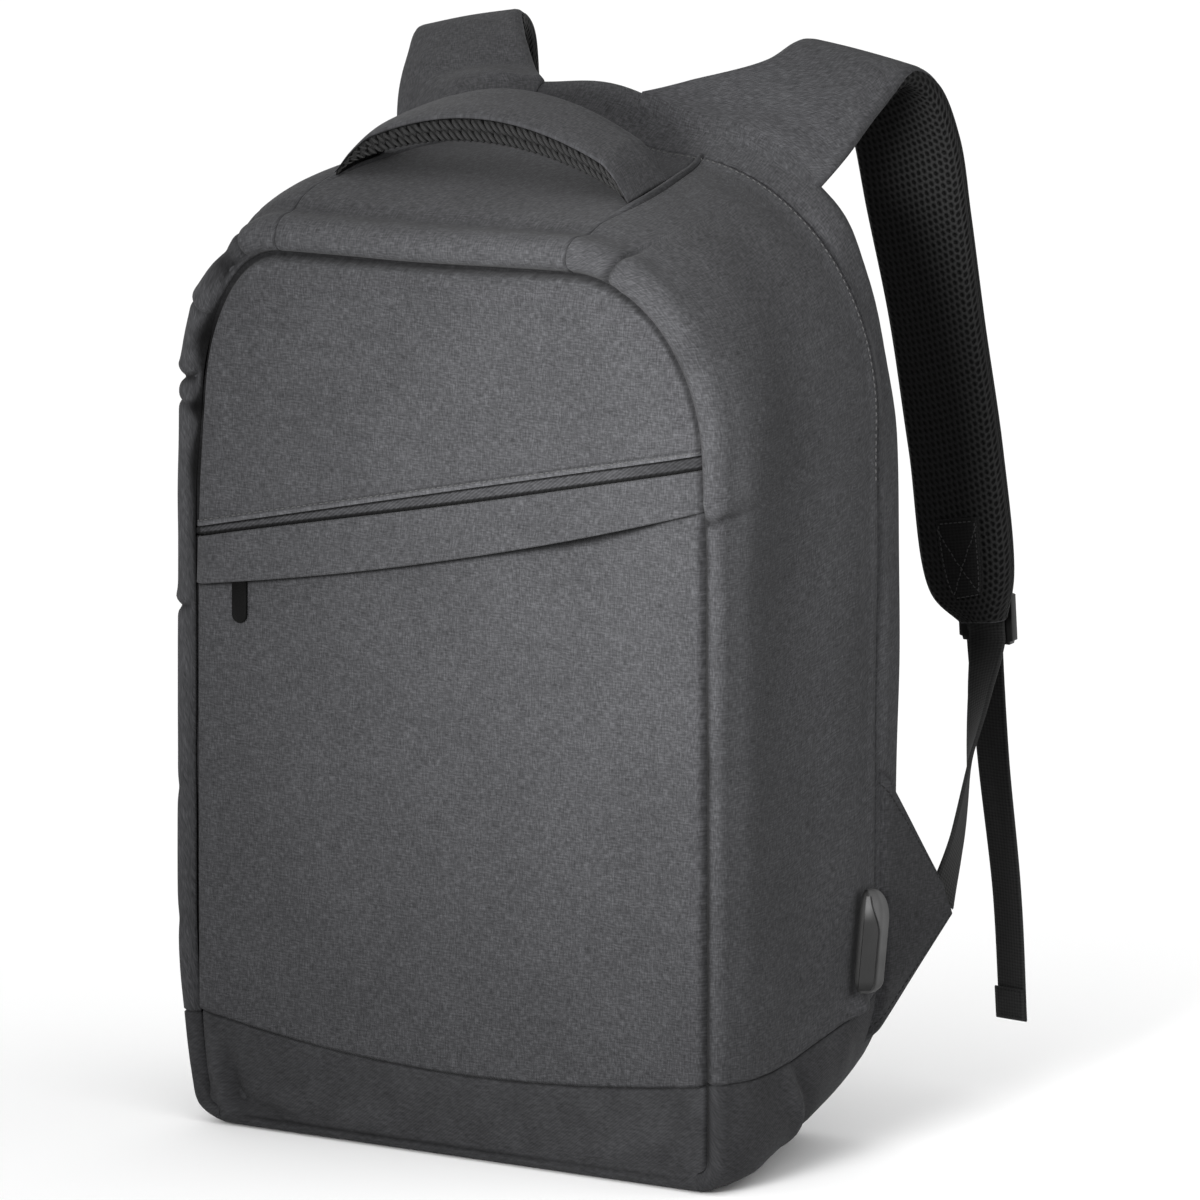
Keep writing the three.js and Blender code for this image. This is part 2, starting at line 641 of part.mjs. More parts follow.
const STRAP_LEFT = [
  { inX: -44, inDepth: 137, outX: -124, outDepth: 137 },
  { inX: -58, inDepth: 152, inHeight: 462.5, outX: -131.5, outDepth: 150, outHeight: 443 },
  { inX: -75.5, inDepth: 168, inHeight: 474, outX: -140.5, outDepth: 170, outHeight: 457.5 },
  { inX: -87.5, inDepth: 184, inHeight: 479, outX: -148.5, outDepth: 188, outHeight: 465 },
  { inX: -94.5, inDepth: 201, inHeight: 470, outX: -152, outDepth: 203, outHeight: 457 },
  { inX: -98, inDepth: 209, inHeight: 444, outX: -152, outDepth: 211, outHeight: 437 },
  { inX: -99, inDepth: 213, inHeight: 404, outX: -150, outDepth: 214, outHeight: 404 },
  { inX: -98.5, inDepth: 219, inHeight: 355, outX: -146.5, outDepth: 218, outHeight: 356 },
  { inX: -97, inDepth: 228, inHeight: 295, outX: -143, outDepth: 227, outHeight: 298 },
  { inX: -98.5, inDepth: 236.5, inHeight: 234, outX: -141.5, outDepth: 237, outHeight: 240 },
  { inX: -113, inDepth: 240, inHeight: 217.5, outX: -136, outDepth: 239.5, outHeight: 219.5 },
];
const STRAP_PADDING = 6;
const STRAP_LINING = 3;
const STRAP_EDGE = 3;

function sewnHeight(x, depth) {
  return topHeight(x, depth) + (x > 0 ? STRAP_START.riseRight : STRAP_START.riseLeft);
}

function strapCurves(rows) {
  const inner = rows.map(({ inX, inDepth, inHeight = sewnHeight(inX, inDepth) }) =>
    new THREE.Vector3(inX, inDepth - DEPTH / 2, inHeight));
  const outer = rows.map(({ outX, outDepth, outHeight = sewnHeight(outX, outDepth) }) =>
    new THREE.Vector3(outX, outDepth - DEPTH / 2, outHeight));
  return [new THREE.CatmullRomCurve3(inner), new THREE.CatmullRomCurve3(outer)];
}

// A layer of a strap, from one height above its middle to another. u runs across it towards +X.
// Where it is sewn on, it is bent to the body's rounded top.
function strapLayer(rows, side, { top, bottom, start, end, margin, edge, columns, steps }) {
  const [inner, outer] = strapCurves(rows);
  const [from, to] = side > 0 ? [inner, outer] : [outer, inner];
  const middle = (u, v) => {
    const t = lerp(start, end, v);
    const [a, b] = [from.getPoint(t), to.getPoint(t)];
    const inset = margin / a.distanceTo(b);
    const point = a.clone().lerp(b, lerp(inset, 1 - inset, u));
    const [baseA, baseB] = [from.getPoint(0), to.getPoint(0)];
    const base = baseA.lerp(baseB, u);
    const hollow = sewnHeight(base.x, STRAP_START.depth) - base.z;
    point.z += hollow * (1 - smoothstep(t, 0, STRAP_START.bend));
    return point;
  };
  const normal = (u, v) => {
    const step = 1e-2;
    const across = middle(1, v).sub(middle(0, v));
    const along = middle(u, Math.min(v + step, 1)).sub(middle(u, Math.max(v - step, 0)));
    return across.cross(along).normalize();
  };
  const thin = (v) => smoothstep(lerp(start, end, v), 0, 0.16);
  const at = (height, round) => (u, v) => {
    const crown = round * (2 * u - 1) ** 4;
    return middle(u, v).addScaledVector(normal(u, v), height(v) - crown);
  };
  return slab(columns, steps, at((v) => lerp(top.start, top.full, thin(v)), edge), at(() => bottom, 0));
}

const outerLayer = {
  top: { start: 1.5, full: STRAP_PADDING - 1 }, bottom: -1,
  start: 0, end: 1, margin: 0, edge: STRAP_EDGE / 2, columns: 4, steps: 24,
};
const liningLayer = {
  top: { start: -1 - CLEARANCE, full: -1 - CLEARANCE }, bottom: -1 - CLEARANCE - STRAP_LINING,
  start: 0.17, end: 0.985, margin: 3, edge: 0, columns: 3, steps: 20,
};
const patchLayer = {
  top: { start: -1 - 2 * CLEARANCE - STRAP_LINING, full: -1 - 2 * CLEARANCE - STRAP_LINING },
  bottom: -2.2 - 2 * CLEARANCE - STRAP_LINING,
  start: 0.845, end: 0.92, margin: 13, edge: 0, columns: 2, steps: 3,
};
for (const [name, side, rows] of [['right', 1, STRAP_RIGHT], ['left', -1, STRAP_LEFT]]) {
  addPiece(`strap_${name}`, strapLayer(rows, side, outerLayer), 'melange');
  addPiece(`strap_mesh_${name}`, strapLayer(rows, side, liningLayer), 'mesh');
  addPiece(`strap_patch_${name}`, strapLayer(rows, side, patchLayer), 'webbing');
}

// Pieces alike on both sides
function addPair(name, geometry, finish) {
  addPiece(`${name}_right`, geometry, finish);
  addPiece(`${name}_left`, mirrored(geometry), finish);
}

// Wing: a triangular anchor sewn at the back seam, with its tip behind the body
const WING = { top: 176, bottom: 50, thickness: 2, tipX: 148,
  tipTopDepth: 170, tipTopHeight: 113, tipLowDepth: 178, tipLowHeight: 98 };

// The length along a loop at which its right side reaches a height
function lengthAtHeight(loop, height) {
  const { marks } = loop;
  return crossing(marks.bottomRight, marks.cornerRight, (length) => loopPoint(loop, length)[1] - height);
}

function wingPoint(u, v) {
  const depth = RIDGE_DEPTH + 1;
  const loop = outlineLoop(depth);
  const height = lerp(WING.bottom, WING.top, v);
  const length = lengthAtHeight(loop, height);
  const [x, z] = loopPoint(loop, length, -CLEARANCE - WING.thickness);
  const sewn = new THREE.Vector3(x, depth, z);
  const tip = new THREE.Vector3(WING.tipX + WING.thickness, lerp(WING.tipLowDepth, WING.tipTopDepth, v),
    lerp(WING.tipLowHeight, WING.tipTopHeight, v));
  const point = sewn.lerp(tip, u);
  point.y -= DEPTH / 2;
  return point;
}

addPair('wing', wall(5, 8, wingPoint, WING.thickness), 'melange');

// Flat webbing along a row of stations, turned about the vertical by each station's angle
const WEBBING_WIDTH = 20;
const WEBBING_WALL = 1.6;

function ribbon(rows, steps, thickness = WEBBING_WALL) {
  const middle = new THREE.CatmullRomCurve3(
    rows.map(({ x, depth, height }) => new THREE.Vector3(x, depth - DEPTH / 2, height)));
  const turnAt = (t) => {
    const place = t * (rows.length - 1);
    const i = Math.min(Math.floor(place), rows.length - 2);
    return degToRad(lerp(rows[i].turn, rows[i + 1].turn, place - i));
  };
  const at = (offset) => (u, v) => {
    const along = middle.getTangent(v);
    const across = new THREE.Vector3(Math.cos(turnAt(v)), Math.sin(turnAt(v)), 0);
    across.addScaledVector(along, -across.dot(along)).normalize();
    const out = across.clone().cross(along).normalize();
    const point = middle.getPoint(v).addScaledVector(across, WEBBING_WIDTH * (u - 0.5));
    return point.addScaledVector(out, offset);
  };
  return slab(1, steps, at(thickness / 2), at(-thickness / 2));
}

const LOCK = { x: 120, depth: 250, height: 219, width: 29, tall: 25, bar: 4.5, thickness: 4, lean: 5 };

const WEBBING = [
  { x: 146.6, depth: 174, height: 104, turn: 90 },
  { x: 144, depth: 190, height: 127, turn: 106 },
  { x: 135, depth: 214, height: 158, turn: 128 },
  { x: 126, depth: 236, height: 187, turn: 155 },
  { x: 121, depth: 247, height: 208, turn: 178 },
];
const TAIL = [
  { x: 115.5, depth: 254.2, height: 213, turn: 180 },
  { x: 116, depth: 254.6, height: 200, turn: 176 },
  { x: 120.5, depth: 254.6, height: 152, turn: 168 },
  { x: 128.5, depth: 254, height: 92, turn: 162 },
  { x: 132.5, depth: 253.5, height: 34.5, turn: 160 },
];
addPair('webbing', ribbon(WEBBING, 14), 'webbing');
addPair('tail', ribbon(TAIL, 14), 'webbing');

// Ladder lock: a moulded frame with two slots
function ladderLock() {
  const { width, tall, bar, thickness, lean } = LOCK;
  const [hw, ht] = [width / 2, tall / 2];
  const chamfer = 3;
  const shape = new THREE.Shape();
  shape.moveTo(-hw + chamfer, -ht);
  shape.lineTo(hw - chamfer, -ht);
  shape.lineTo(hw, -ht + chamfer);
  shape.lineTo(hw, ht - chamfer);
  shape.lineTo(hw - chamfer, ht);
  shape.lineTo(-hw + chamfer, ht);
  shape.lineTo(-hw, ht - chamfer);
  shape.lineTo(-hw, -ht + chamfer);
  shape.closePath();
  const slot = (tall - 3 * bar) / 2;
  for (const low of [-ht + bar, -ht + 2 * bar + slot]) {
    const hole = new THREE.Path();
    hole.moveTo(-hw + bar, low);
    hole.lineTo(-hw + bar, low + slot);
    hole.lineTo(hw - bar, low + slot);
    hole.lineTo(hw - bar, low);
    hole.closePath();
    shape.holes.push(hole);
  }
  const geometry = new THREE.ExtrudeGeometry(shape, { depth: thickness, bevelEnabled: false });
  geometry.translate(0, 0, -thickness / 2);
  geometry.rotateX(degToRad(90 + lean));
  geometry.translate(LOCK.x, LOCK.depth - DEPTH / 2, LOCK.height);
  return geometry;
}

const lock = ladderLock();
addPiece('ladder_lock_right', lock, 'plastic');
const lockLeft = lock.clone();
lockLeft.translate(-2 * LOCK.x, 0, 0);
addPiece('ladder_lock_left', lockLeft, 'plastic');

// Port low on the right side: a moulded hood off the cloth, whose sloped front carries a soft cover. It
// leans back with height, and its rounded ends come down to a low edge.
const PORT = {
  depth: 103, height: 96.5, long: 46, lean: degToRad(9), stand: 0.8,
  lowEdge: 0.12, topReach: 0.3, lowReach: 0.14,
};
const PORT_SECTION = [
  { run: 0, rise: 0.8 },
  { run: 4.7, rise: 8.4 },
  { run: 9.4, rise: 9.8 },
  { run: 10, rise: 0.8 },
];
const PORT_COVER = { side: 0.1, end: 0.05, gap: 0.4, wall: 1.2 };

const portLoop = outlineLoop(PORT.depth);
const [portX] = loopPoint(portLoop, lengthAtHeight(portLoop, PORT.height));

// Share of the hood's full section at a fraction of its length
function portShare(v) {
  const rounded = (t) => lerp(PORT.lowEdge, 1, Math.sqrt(1 - (1 - Math.min(t, 1)) ** 2));
  return Math.min(rounded((1 - v) / PORT.topReach), rounded(v / PORT.lowReach));
}

function portPoint(run, rise, v) {
  const middle = PORT_SECTION[3].run / 2;
  const share = portShare(v);
  const up = PORT.long * (v - 0.5);
  const depth = PORT.depth + middle + (run - middle) * (1 + share) / 2 + up * Math.tan(PORT.lean);
  return new THREE.Vector3(portX + PORT.stand + rise * share, depth - DEPTH / 2, PORT.height + up);
}

function portHood() {
  const last = PORT_SECTION.length - 1;
  const at = (u) => PORT_SECTION[Math.round(u * last)];
  return slab(last, 10, (u, v) => portPoint(at(u).run, at(u).rise, v), (u, v) => portPoint(at(u).run, 0, v));
}

function portCover() {
  const [foot, ridge] = PORT_SECTION;
  const [run, rise] = [ridge.run - foot.run, ridge.rise - foot.rise];
  const size = Math.hypot(run, rise);
  const { side, end, gap, wall: thickness } = PORT_COVER;
  const at = (stand) => (u, v) => {
    const t = lerp(side, 1 - side, u);
    const along = lerp(end, 1 - end, v);
    const point = portPoint(lerp(foot.run, ridge.run, t), lerp(foot.rise, ridge.rise, t), along);
    return point.add(new THREE.Vector3(stand * run / size, -stand * rise / size, 0));
  };
  return slab(2, 10, at(gap + thickness), at(gap));
}

addPiece('port_frame', portHood(), 'rubber');
addPiece('port_cover', portCover(), 'rubber');

export default backpack;
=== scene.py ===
"""Looks of an upright melange backpack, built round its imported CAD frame.

Sizes are in millimetres until a mesh is made. Left and right are as seen from the front, and a depth is
measured back from the front of the edge roll, as in the CAD part. A pair of numbers such as (385, 405) is a
range where no comment says otherwise: what it steers starts at the first and is complete at the second.
"""
import math
from types import SimpleNamespace as Numbers

import bpy
import numpy as np
from mathutils import Matrix, Vector


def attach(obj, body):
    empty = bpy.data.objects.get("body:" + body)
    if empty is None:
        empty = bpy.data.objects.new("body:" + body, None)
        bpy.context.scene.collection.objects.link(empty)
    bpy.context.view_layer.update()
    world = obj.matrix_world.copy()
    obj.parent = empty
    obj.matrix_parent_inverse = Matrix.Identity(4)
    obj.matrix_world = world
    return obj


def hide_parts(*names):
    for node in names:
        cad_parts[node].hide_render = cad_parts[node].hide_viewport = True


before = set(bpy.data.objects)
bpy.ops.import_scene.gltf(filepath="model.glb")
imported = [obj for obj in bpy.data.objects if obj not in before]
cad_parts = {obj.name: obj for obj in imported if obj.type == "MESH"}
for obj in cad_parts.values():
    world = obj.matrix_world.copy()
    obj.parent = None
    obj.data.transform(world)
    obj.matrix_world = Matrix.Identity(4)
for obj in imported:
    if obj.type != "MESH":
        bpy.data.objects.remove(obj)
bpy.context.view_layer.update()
MM = 0.001

# Camera at the photograph's viewing angle
AZIMUTH, ELEVATION = math.radians(35.0), math.radians(10.3)
CAMERA_DISTANCE, SENSOR_WIDTH = 8.0, 36
PIXELS_PER_METRE, IMAGE_SIZE = 2255.0, 1200
MIDDLE, MIDDLE_PIXEL = Vector((0, 0, 0.235)), (538.1, 610.3)


def make_camera():
    level = math.cos(ELEVATION)
    back = Vector((math.sin(AZIMUTH) * level, -math.cos(AZIMUTH) * level, math.sin(ELEVATION)))
    right = Vector((math.cos(AZIMUTH), math.sin(AZIMUTH), 0))
    up = back.cross(right)
    aim = MIDDLE + right * ((IMAGE_SIZE / 2 - MIDDLE_PIXEL[0]) / PIXELS_PER_METRE)
    aim += up * ((MIDDLE_PIXEL[1] - IMAGE_SIZE / 2) / PIXELS_PER_METRE)
    data = bpy.data.cameras.new("camera")
    data.sensor_fit = "HORIZONTAL"
    data.sensor_width = SENSOR_WIDTH
    data.lens = CAMERA_DISTANCE * PIXELS_PER_METRE / IMAGE_SIZE * SENSOR_WIDTH
    data.clip_start, data.clip_end = 0.1, 100
    camera = bpy.data.objects.new("camera", data)
    bpy.context.scene.collection.objects.link(camera)
    turn = Matrix((right, up, back)).transposed()
    camera.matrix_world = Matrix.Translation(aim + back * CAMERA_DISTANCE) @ turn.to_4x4()
    bpy.context.scene.camera = camera


make_camera()

# Sizes repeated from the CAD part
DEPTH, RIDGE_DEPTH = 142, 117
HALF_DEPTH = DEPTH / 2
CLEARANCE, SEAM_OVERLAP = 0.5, 1.0
SIDE_WALL, PANEL_WALL, BACK_WALL, BASE_WALL, FLAP_WALL, ZIP_WALL = 3, 4, 8, 3, 1.6, 2
ROLL_RADIUS_LOW, ROLL_RADIUS_HIGH, ROLL_SWELL = 5, 8, (260, 380)
ROLL_START, ROLL_TUCK = math.radians(-50), math.radians(-74)
BACK_EDGE_RADIUS, BACK_ZIP_WIDTH, BACK_CROWN = 10, 7, 5
BACK_HEM_INSET, BACK_HEM_SINK = BACK_EDGE_RADIUS + BACK_ZIP_WIDTH + 4, 1.5
LOW_HEIGHT, SHOULDER_HEIGHT = 90, 330
OUTLINE_COLUMNS = ("depth", "half_low", "half_high", "seam_right", "seam_left", "top_right", "top_left",
                   "arch", "corner_right", "corner_left", "corner_low", "seam_shift")
OUTLINE = np.array([
    (0, 148, 147, 65, -92, 415, 409, -1, 88, 78, 13, 0),
    (25, 149, 148, 63, -93, 422, 420, 0, 91, 84, 18, 5),
    (48, 150, 149, 60, -91, 428, 427, 1, 94, 89, 30, 11),
    (85, 150, 150, 54, -83, 433, 433, 3, 99, 95, 56, 11),
    (117, 149, 150, 46, -73, 438, 439, 8, 108, 103, 78, 11),
    (142, 147, 148, 44, -58, 456, 466, 7, 139, 149, 96, 11),
], float)
# Depth and height of the base's seam along the sides
BASE_SEAM = np.array([(0, 49), (45, 50), (76, 57), (110, 68), (142, 80)], float)
POCKET_LEFT_HEIGHT, POCKET_RISE, POCKET_SPAN = 269, 59, 273
POCKET_TAPE, POCKET_FLAP, FLAP_LIFT, FLAP_SAG = 5.5, 18.5, 1.8, 5.4
FRONT_SEAM_HEIGHT, FRONT_SEAM_SMILE, FRONT_SEAM_LEAN = 38, 11.8, -1.8
PANEL_HALF, PANEL_DIP, PANEL_DIP_REACH, PANEL_CROWN = 140, 2.6, 14, 2.5
PANEL_DEPTH, PANEL_GAP, PANEL_UNDER = 3, 0.8, 3.0
FRONT_EDGE_UNDER = 14

# Curves, and lines of points
QUARTER = math.pi / 2
TINY, CLOSE = 1e-12, 1e-9


def smoothstep(x, low, high):
    t = np.clip((np.asarray(x, float) - low) / (high - low), 0, 1)
    return t * t * (3 - 2 * t)


def fade(x, low, high):
    """1 up to one value, falling smoothly to 0 at another."""
    return 1 - smoothstep(x, low, high)


def plateau(x, rise, fall):
    """1 between two ranges, over which it rises from 0 and falls back to it."""
    return smoothstep(x, *rise) * fade(x, *fall)


def lerp(a, b, t):
    return a + (b - a) * t


def bell(x, middle, width):
    return np.exp(-(((x - middle) / width) ** 2))


def unit(vectors):
    return vectors / (np.linalg.norm(vectors, axis=-1, keepdims=True) + TINY)


def nearest(values, target):
    return int(np.argmin(np.abs(values - target)))


def lengths_along(points):
    """Lengths along a line of points, from its start."""
    return np.concatenate([[0], np.cumsum(np.linalg.norm(np.diff(points, axis=0), axis=1))])


def on_line(places, lengths, rows):
    """Rows of values along a line, read at places between its lengths."""
    return np.stack([np.interp(places, lengths, column) for column in rows.T], -1)


def spread(count, low=0.0, high=1.0, ends=0.35):
    """Values from low to high that crowd a little towards both ends."""
    t = np.linspace(0, 1, count)
    return lerp(low, high, lerp(t, 0.5 - 0.5 * np.cos(np.pi * t), ends))


def eased(count, low, high, power):
    """Values from low to high that crowd towards the end."""
    return lerp(low, high, 1 - (1 - np.linspace(0, 1, count)) ** power)


def joined(*runs):
    """Runs of rising values in one row, where each starts with the last value of the one before."""
    return np.concatenate([runs[0], *(run[1:] for run in runs[1:])])


def hermite(low, high, slope_low, slope_high, t):
    """Smooth curve between two values with given slopes."""
    return ((2 * t**3 - 3 * t**2 + 1) * low + (t**3 - 2 * t**2 + t) * slope_low
            + (3 * t**2 - 2 * t**3) * high + (t**3 - t**2) * slope_high)


def row_at(table, depth):
    """A table's columns at one depth, on a smooth curve through its rows."""
    last = len(table) - 1
    i = 0
    while i < last - 1 and depth > table[i + 1][0]:
        i += 1
    before, low, high, after = table[max(i - 1, 0)], table[i], table[i + 1], table[min(i + 2, last)]
    span = high[0] - low[0]
    slope_low = span * (high - before) / (high[0] - before[0])
    slope_high = span * (after - low) / (after[0] - low[0])
    return hermite(low, high, slope_low, slope_high, (depth - low[0]) / span)


def smooth_curve(points, ts):
    """Points of a centripetal Catmull-Rom curve through points, at ts from 0 to 1."""
    points = np.asarray(points, float)
    last = len(points) - 1
    place = np.clip(ts, 0, 1) * last
    i = np.minimum(place.astype(int), last - 1)
    w = (place - i)[..., None]
    row = np.concatenate([[2 * points[0] - points[1]], points, [2 * points[-1] - points[-2]]])
    p = [row[i + k] for k in range(4)]
    d0, d1, d2 = (np.sqrt(np.linalg.norm(p[k + 1] - p[k], axis=-1, keepdims=True)) for k in range(3))
    t1 = ((p[1] - p[0]) / d0 - (p[2] - p[0]) / (d0 + d1) + (p[2] - p[1]) / d1) * d1
    t2 = ((p[2] - p[1]) / d1 - (p[3] - p[1]) / (d1 + d2) + (p[3] - p[2]) / d2) * d1
    return hermite(p[1], p[2], t1, t2, w)


# Outline of the body
class Loop:
    """The body's closed outline at one depth, with named lengths along it."""

    def __init__(self, depth):
        row = dict(zip(OUTLINE_COLUMNS, row_at(OUTLINE, depth)))
        low = row["corner_low"]

        def half(z):
            return lerp(row["half_low"], row["half_high"], smoothstep(z, LOW_HEIGHT, SHOULDER_HEIGHT))

        def low_corner(side, a):
            z = low * (1 - np.cos(a))
            return np.stack([side * (half(z) - low * (1 - np.sin(a))), z], -1)

        def top_corner(side, a):
            name = "right" if side > 0 else "left"
            z = row["top_" + name] - row["corner_" + name] * (1 - np.sin(a))
            seam = row["seam_" + name]
            return np.stack([lerp(seam, side * half(z), np.cos(a)), z], -1)

        def straight(side, t):
            z = lerp(low, top_corner(side, np.array(0.0))[1], t)
            return np.stack([side * half(z), z], -1)

        def arch(t):
            z = lerp(row["top_right"], row["top_left"], t) + row["arch"] * np.sin(np.pi * t) ** 2
            return np.stack([lerp(row["seam_right"], row["seam_left"], t), z], -1)

        end = low_corner(1, np.array(0.0))[0]
        stretches = [
            # mark at its end, count of points, curve
            ("bottom_right", 12, lambda t: np.stack([lerp(-end, end, t), 0 * t], -1)),
            (None, 16, lambda t: low_corner(1, t * QUARTER)),
            ("shoulder_right", 24, lambda t: straight(1, t)),
            ("corner_right", 12, lambda t: top_corner(1, t * QUARTER / 2)),
            ("seam_right", 12, lambda t: top_corner(1, (1 + t) * QUARTER / 2)),
            ("seam_left", 20, arch),
            ("corner_left", 12, lambda t: top_corner(-1, (2 - t) * QUARTER / 2)),
            ("shoulder_left", 12, lambda t: top_corner(-1, (1 - t) * QUARTER / 2)),
            (None, 24, lambda t: straight(-1, 1 - t)),
            ("end", 16, lambda t: low_corner(-1, (1 - t) * QUARTER)),
        ]
        points, index, count = [np.array([[-end, 0.0]])], {"bottom_left": 0}, 0
        for name, steps, curve in stretches:
            points.append(curve(np.arange(1, steps + 1) / steps))
            count += steps
            if name:
                index[name] = count
        self.points = np.concatenate(points)
        self.lengths = lengths_along(self.points)
        ring = np.concatenate([self.points[-2:-1], self.points, self.points[1:2]])
        tangent = unit(ring[2:] - ring[:-2])
        self.normals = np.stack([tangent[:, 1], -tangent[:, 0]], -1)
        self.marks = {name: self.lengths[i] for name, i in index.items()}
        self.marks["seam_right"] -= row["seam_shift"]
        base = row_at(BASE_SEAM, depth)[1]
        right = slice(index["bottom_right"], index["seam_right"] + 1)
        left = slice(index["seam_left"], index["end"] + 1)
        self.marks["base_right"] = np.interp(base, self.points[right, 1], self.lengths[right])
        self.marks["base_left"] = np.interp(base, self.points[left, 1][::-1], self.lengths[left][::-1])
        self.top = slice(index["shoulder_right"], index["shoulder_left"] + 1)
        self.right = slice(index["bottom_right"], index["corner_right"] + 1)

    def point_and_normal(self, lengths):
        place = on_line(lengths, self.lengths, self.points)
        return place, unit(on_line(lengths, self.lengths, self.normals))

    def at(self, lengths, inset=0.0):
        """Points at lengths along the loop, moved in from it, as x and z."""
        place, out = self.point_and_normal(lengths)
        return place - np.asarray(inset)[..., None] * out

    def height_at(self, x):
        return np.interp(x, self.points[self.top, 0][::-1], self.points[self.top, 1][::-1])

    def length_at_height(self, z):
        """Length along the loop where its right side reaches a height."""
        return np.interp(z, self.points[self.right, 1], self.lengths[self.right])


LOOPS = [Loop(float(k)) for k in range(DEPTH + 1)]


def roll_radius(z):
    return lerp(ROLL_RADIUS_LOW, ROLL_RADIUS_HIGH, smoothstep(z, *ROLL_SWELL))


def top_height(x, depth):
    """Height of the body's top at places of equal depth."""
    k = min(int(depth), DEPTH - 1)
    return lerp(LOOPS[k].height_at(x), LOOPS[k + 1].height_at(x), depth - k)


def route_lengths(loop, route, fractions):
    """Lengths along a loop for fractions of a route, which overlaps its neighbours at both ends."""
    places = [loop.marks[mark] for mark, _ in route]
    places[0] -= SEAM_OVERLAP
    places[-1] += SEAM_OVERLAP
    return np.interp(fractions, [fraction for _, fraction in route], places)


# Sections of the shell from front to back
def section(*stretches):
    """Joins stretches of a section, each with the fraction of the whole where it ends."""
    def at(us, radius):
        inset, depth = np.zeros((2, len(us), len(radius)))
        start = 0.0
        for end, stretch in stretches:
            hit = (us >= start - CLOSE) & (us <= end + CLOSE)
            t = np.clip((us[hit] - start) / (end - start), 0, 1)[:, None]
            inset[hit], depth[hit] = stretch(t, radius[None, :])
            start = end
        return inset, depth
    return at


def roll_stretch(t, radius):
    a = lerp(ROLL_TUCK, QUARTER, t)
    return radius * (1 - np.sin(a)), radius * (1 - np.cos(a))


def back_edge(t, radius):
    a = t * QUARTER
    return BACK_EDGE_RADIUS * (1 - np.cos(a)), DEPTH - BACK_EDGE_RADIUS * (1 - np.sin(a))


def back_hem(t, radius):
    """Flat hem of the base at the back, which reaches under the pad."""
    return lerp(BACK_EDGE_RADIUS, BACK_HEM_INSET, t), DEPTH - BACK_HEM_SINK * t


def flat(low, high):
    return lambda t, radius: (0 * t, lerp(low, high, t))


def behind_roll(high):
    return lambda t, radius: (0 * t, lerp(radius, high, t))


BACK_START = DEPTH - BACK_EDGE_RADIUS
# Fractions of a section where its roll ends, its back edge starts to turn and its hem starts
ROLL_SHARE, BASE_ROLL_SHARE = 0.42, 0.36
BAND_TURN, BASE_TURN, BOTTOM_TURN = 0.4, 0.76, 0.68
BASE_HEM, BOTTOM_HEM = 0.93, 0.92
GUSSET = section((ROLL_SHARE, roll_stretch), (1, behind_roll(RIDGE_DEPTH + SEAM_OVERLAP)))
BAND = section((BAND_TURN, flat(RIDGE_DEPTH - SEAM_OVERLAP, BACK_START)), (1, back_edge))
BASE_SIDE = section((BASE_ROLL_SHARE, roll_stretch), (BASE_TURN, behind_roll(BACK_START)),
                    (BASE_HEM, back_edge), (1, back_hem))
BOTTOM = section((BOTTOM_TURN, flat(FRONT_EDGE_UNDER - SEAM_OVERLAP, BACK_START)),
                 (BOTTOM_HEM, back_edge), (1, back_hem))

# Routes round the body: marks, each with the fraction of the route where it lies
SHOULDER_SHARE = 0.42
RIGHT_SIDE = [("base_right", 0), ("shoulder_right", SHOULDER_SHARE), ("seam_right", 1)]
LEFT_SIDE = [("seam_left", 0), ("shoulder_left", 1 - SHOULDER_SHARE), ("base_left", 1)]
TOP_ROUTE = [("seam_right", 0), ("seam_left", 1)]
BASE_RIGHT = [("bottom_right", 0), ("base_right", 1)]
BASE_LEFT = [("base_left", 0), ("end", 1)]
BOTTOM_ROUTE = [("bottom_left", 0), ("bottom_right", 1)]
ARCH = [("base_right", 0), ("shoulder_right", 0.2), ("seam_right", 0.4), ("seam_left", 0.6),
        ("shoulder_left", 0.8), ("base_left", 1)]


def shell_grid(route, at, us, vs):
    """Points of the shell for section values us and route fractions vs."""
    lines = [loop.point_and_normal(route_lengths(loop, route, vs)) for loop in LOOPS]
    places, outs = (np.array(rows) for rows in zip(*lines))
    inset, depth = at(us, roll_radius(places[0, :, 1]))
    k = np.clip(np.floor(depth).astype(int), 0, DEPTH - 1)
    t = (depth - k)[..., None]
    j = np.broadcast_to(np.arange(len(vs)), depth.shape)
    out = unit(lerp(outs[k, j], outs[k + 1, j], t))
    place = lerp(places[k, j], places[k + 1, j], t) - inset[..., None] * out
    return at_depth(place[..., 0], depth, place[..., 1])


# Grids of points
NOISE_CELLS, NOISE_SHIFT = 32, 5.37
LATTICE = np.random.default_rng(7).uniform(-1, 1, (NOISE_CELLS,) * 3)


def noise(points, size, seed=0):
    """Smooth noise from -1 to 1 at points, with bumps about one size across."""
    q = points / size + NOISE_SHIFT * (seed + 1)
    cell = np.floor(q).astype(int)
    f = q - cell
    f = f * f * (3 - 2 * f)
    total = 0
    for corner in np.ndindex(2, 2, 2):
        weight = np.prod([f[..., k] if corner[k] else 1 - f[..., k] for k in range(3)], axis=0)
        c = (cell + corner) % NOISE_CELLS
        total = total + weight * LATTICE[c[..., 0], c[..., 1], c[..., 2]]
    return total


def waves(points, *rows):
    """Soft waves at points, each with its height, its size and the seed of its noise."""
    return sum(height * noise(points, size, seed) for height, size, seed in rows)


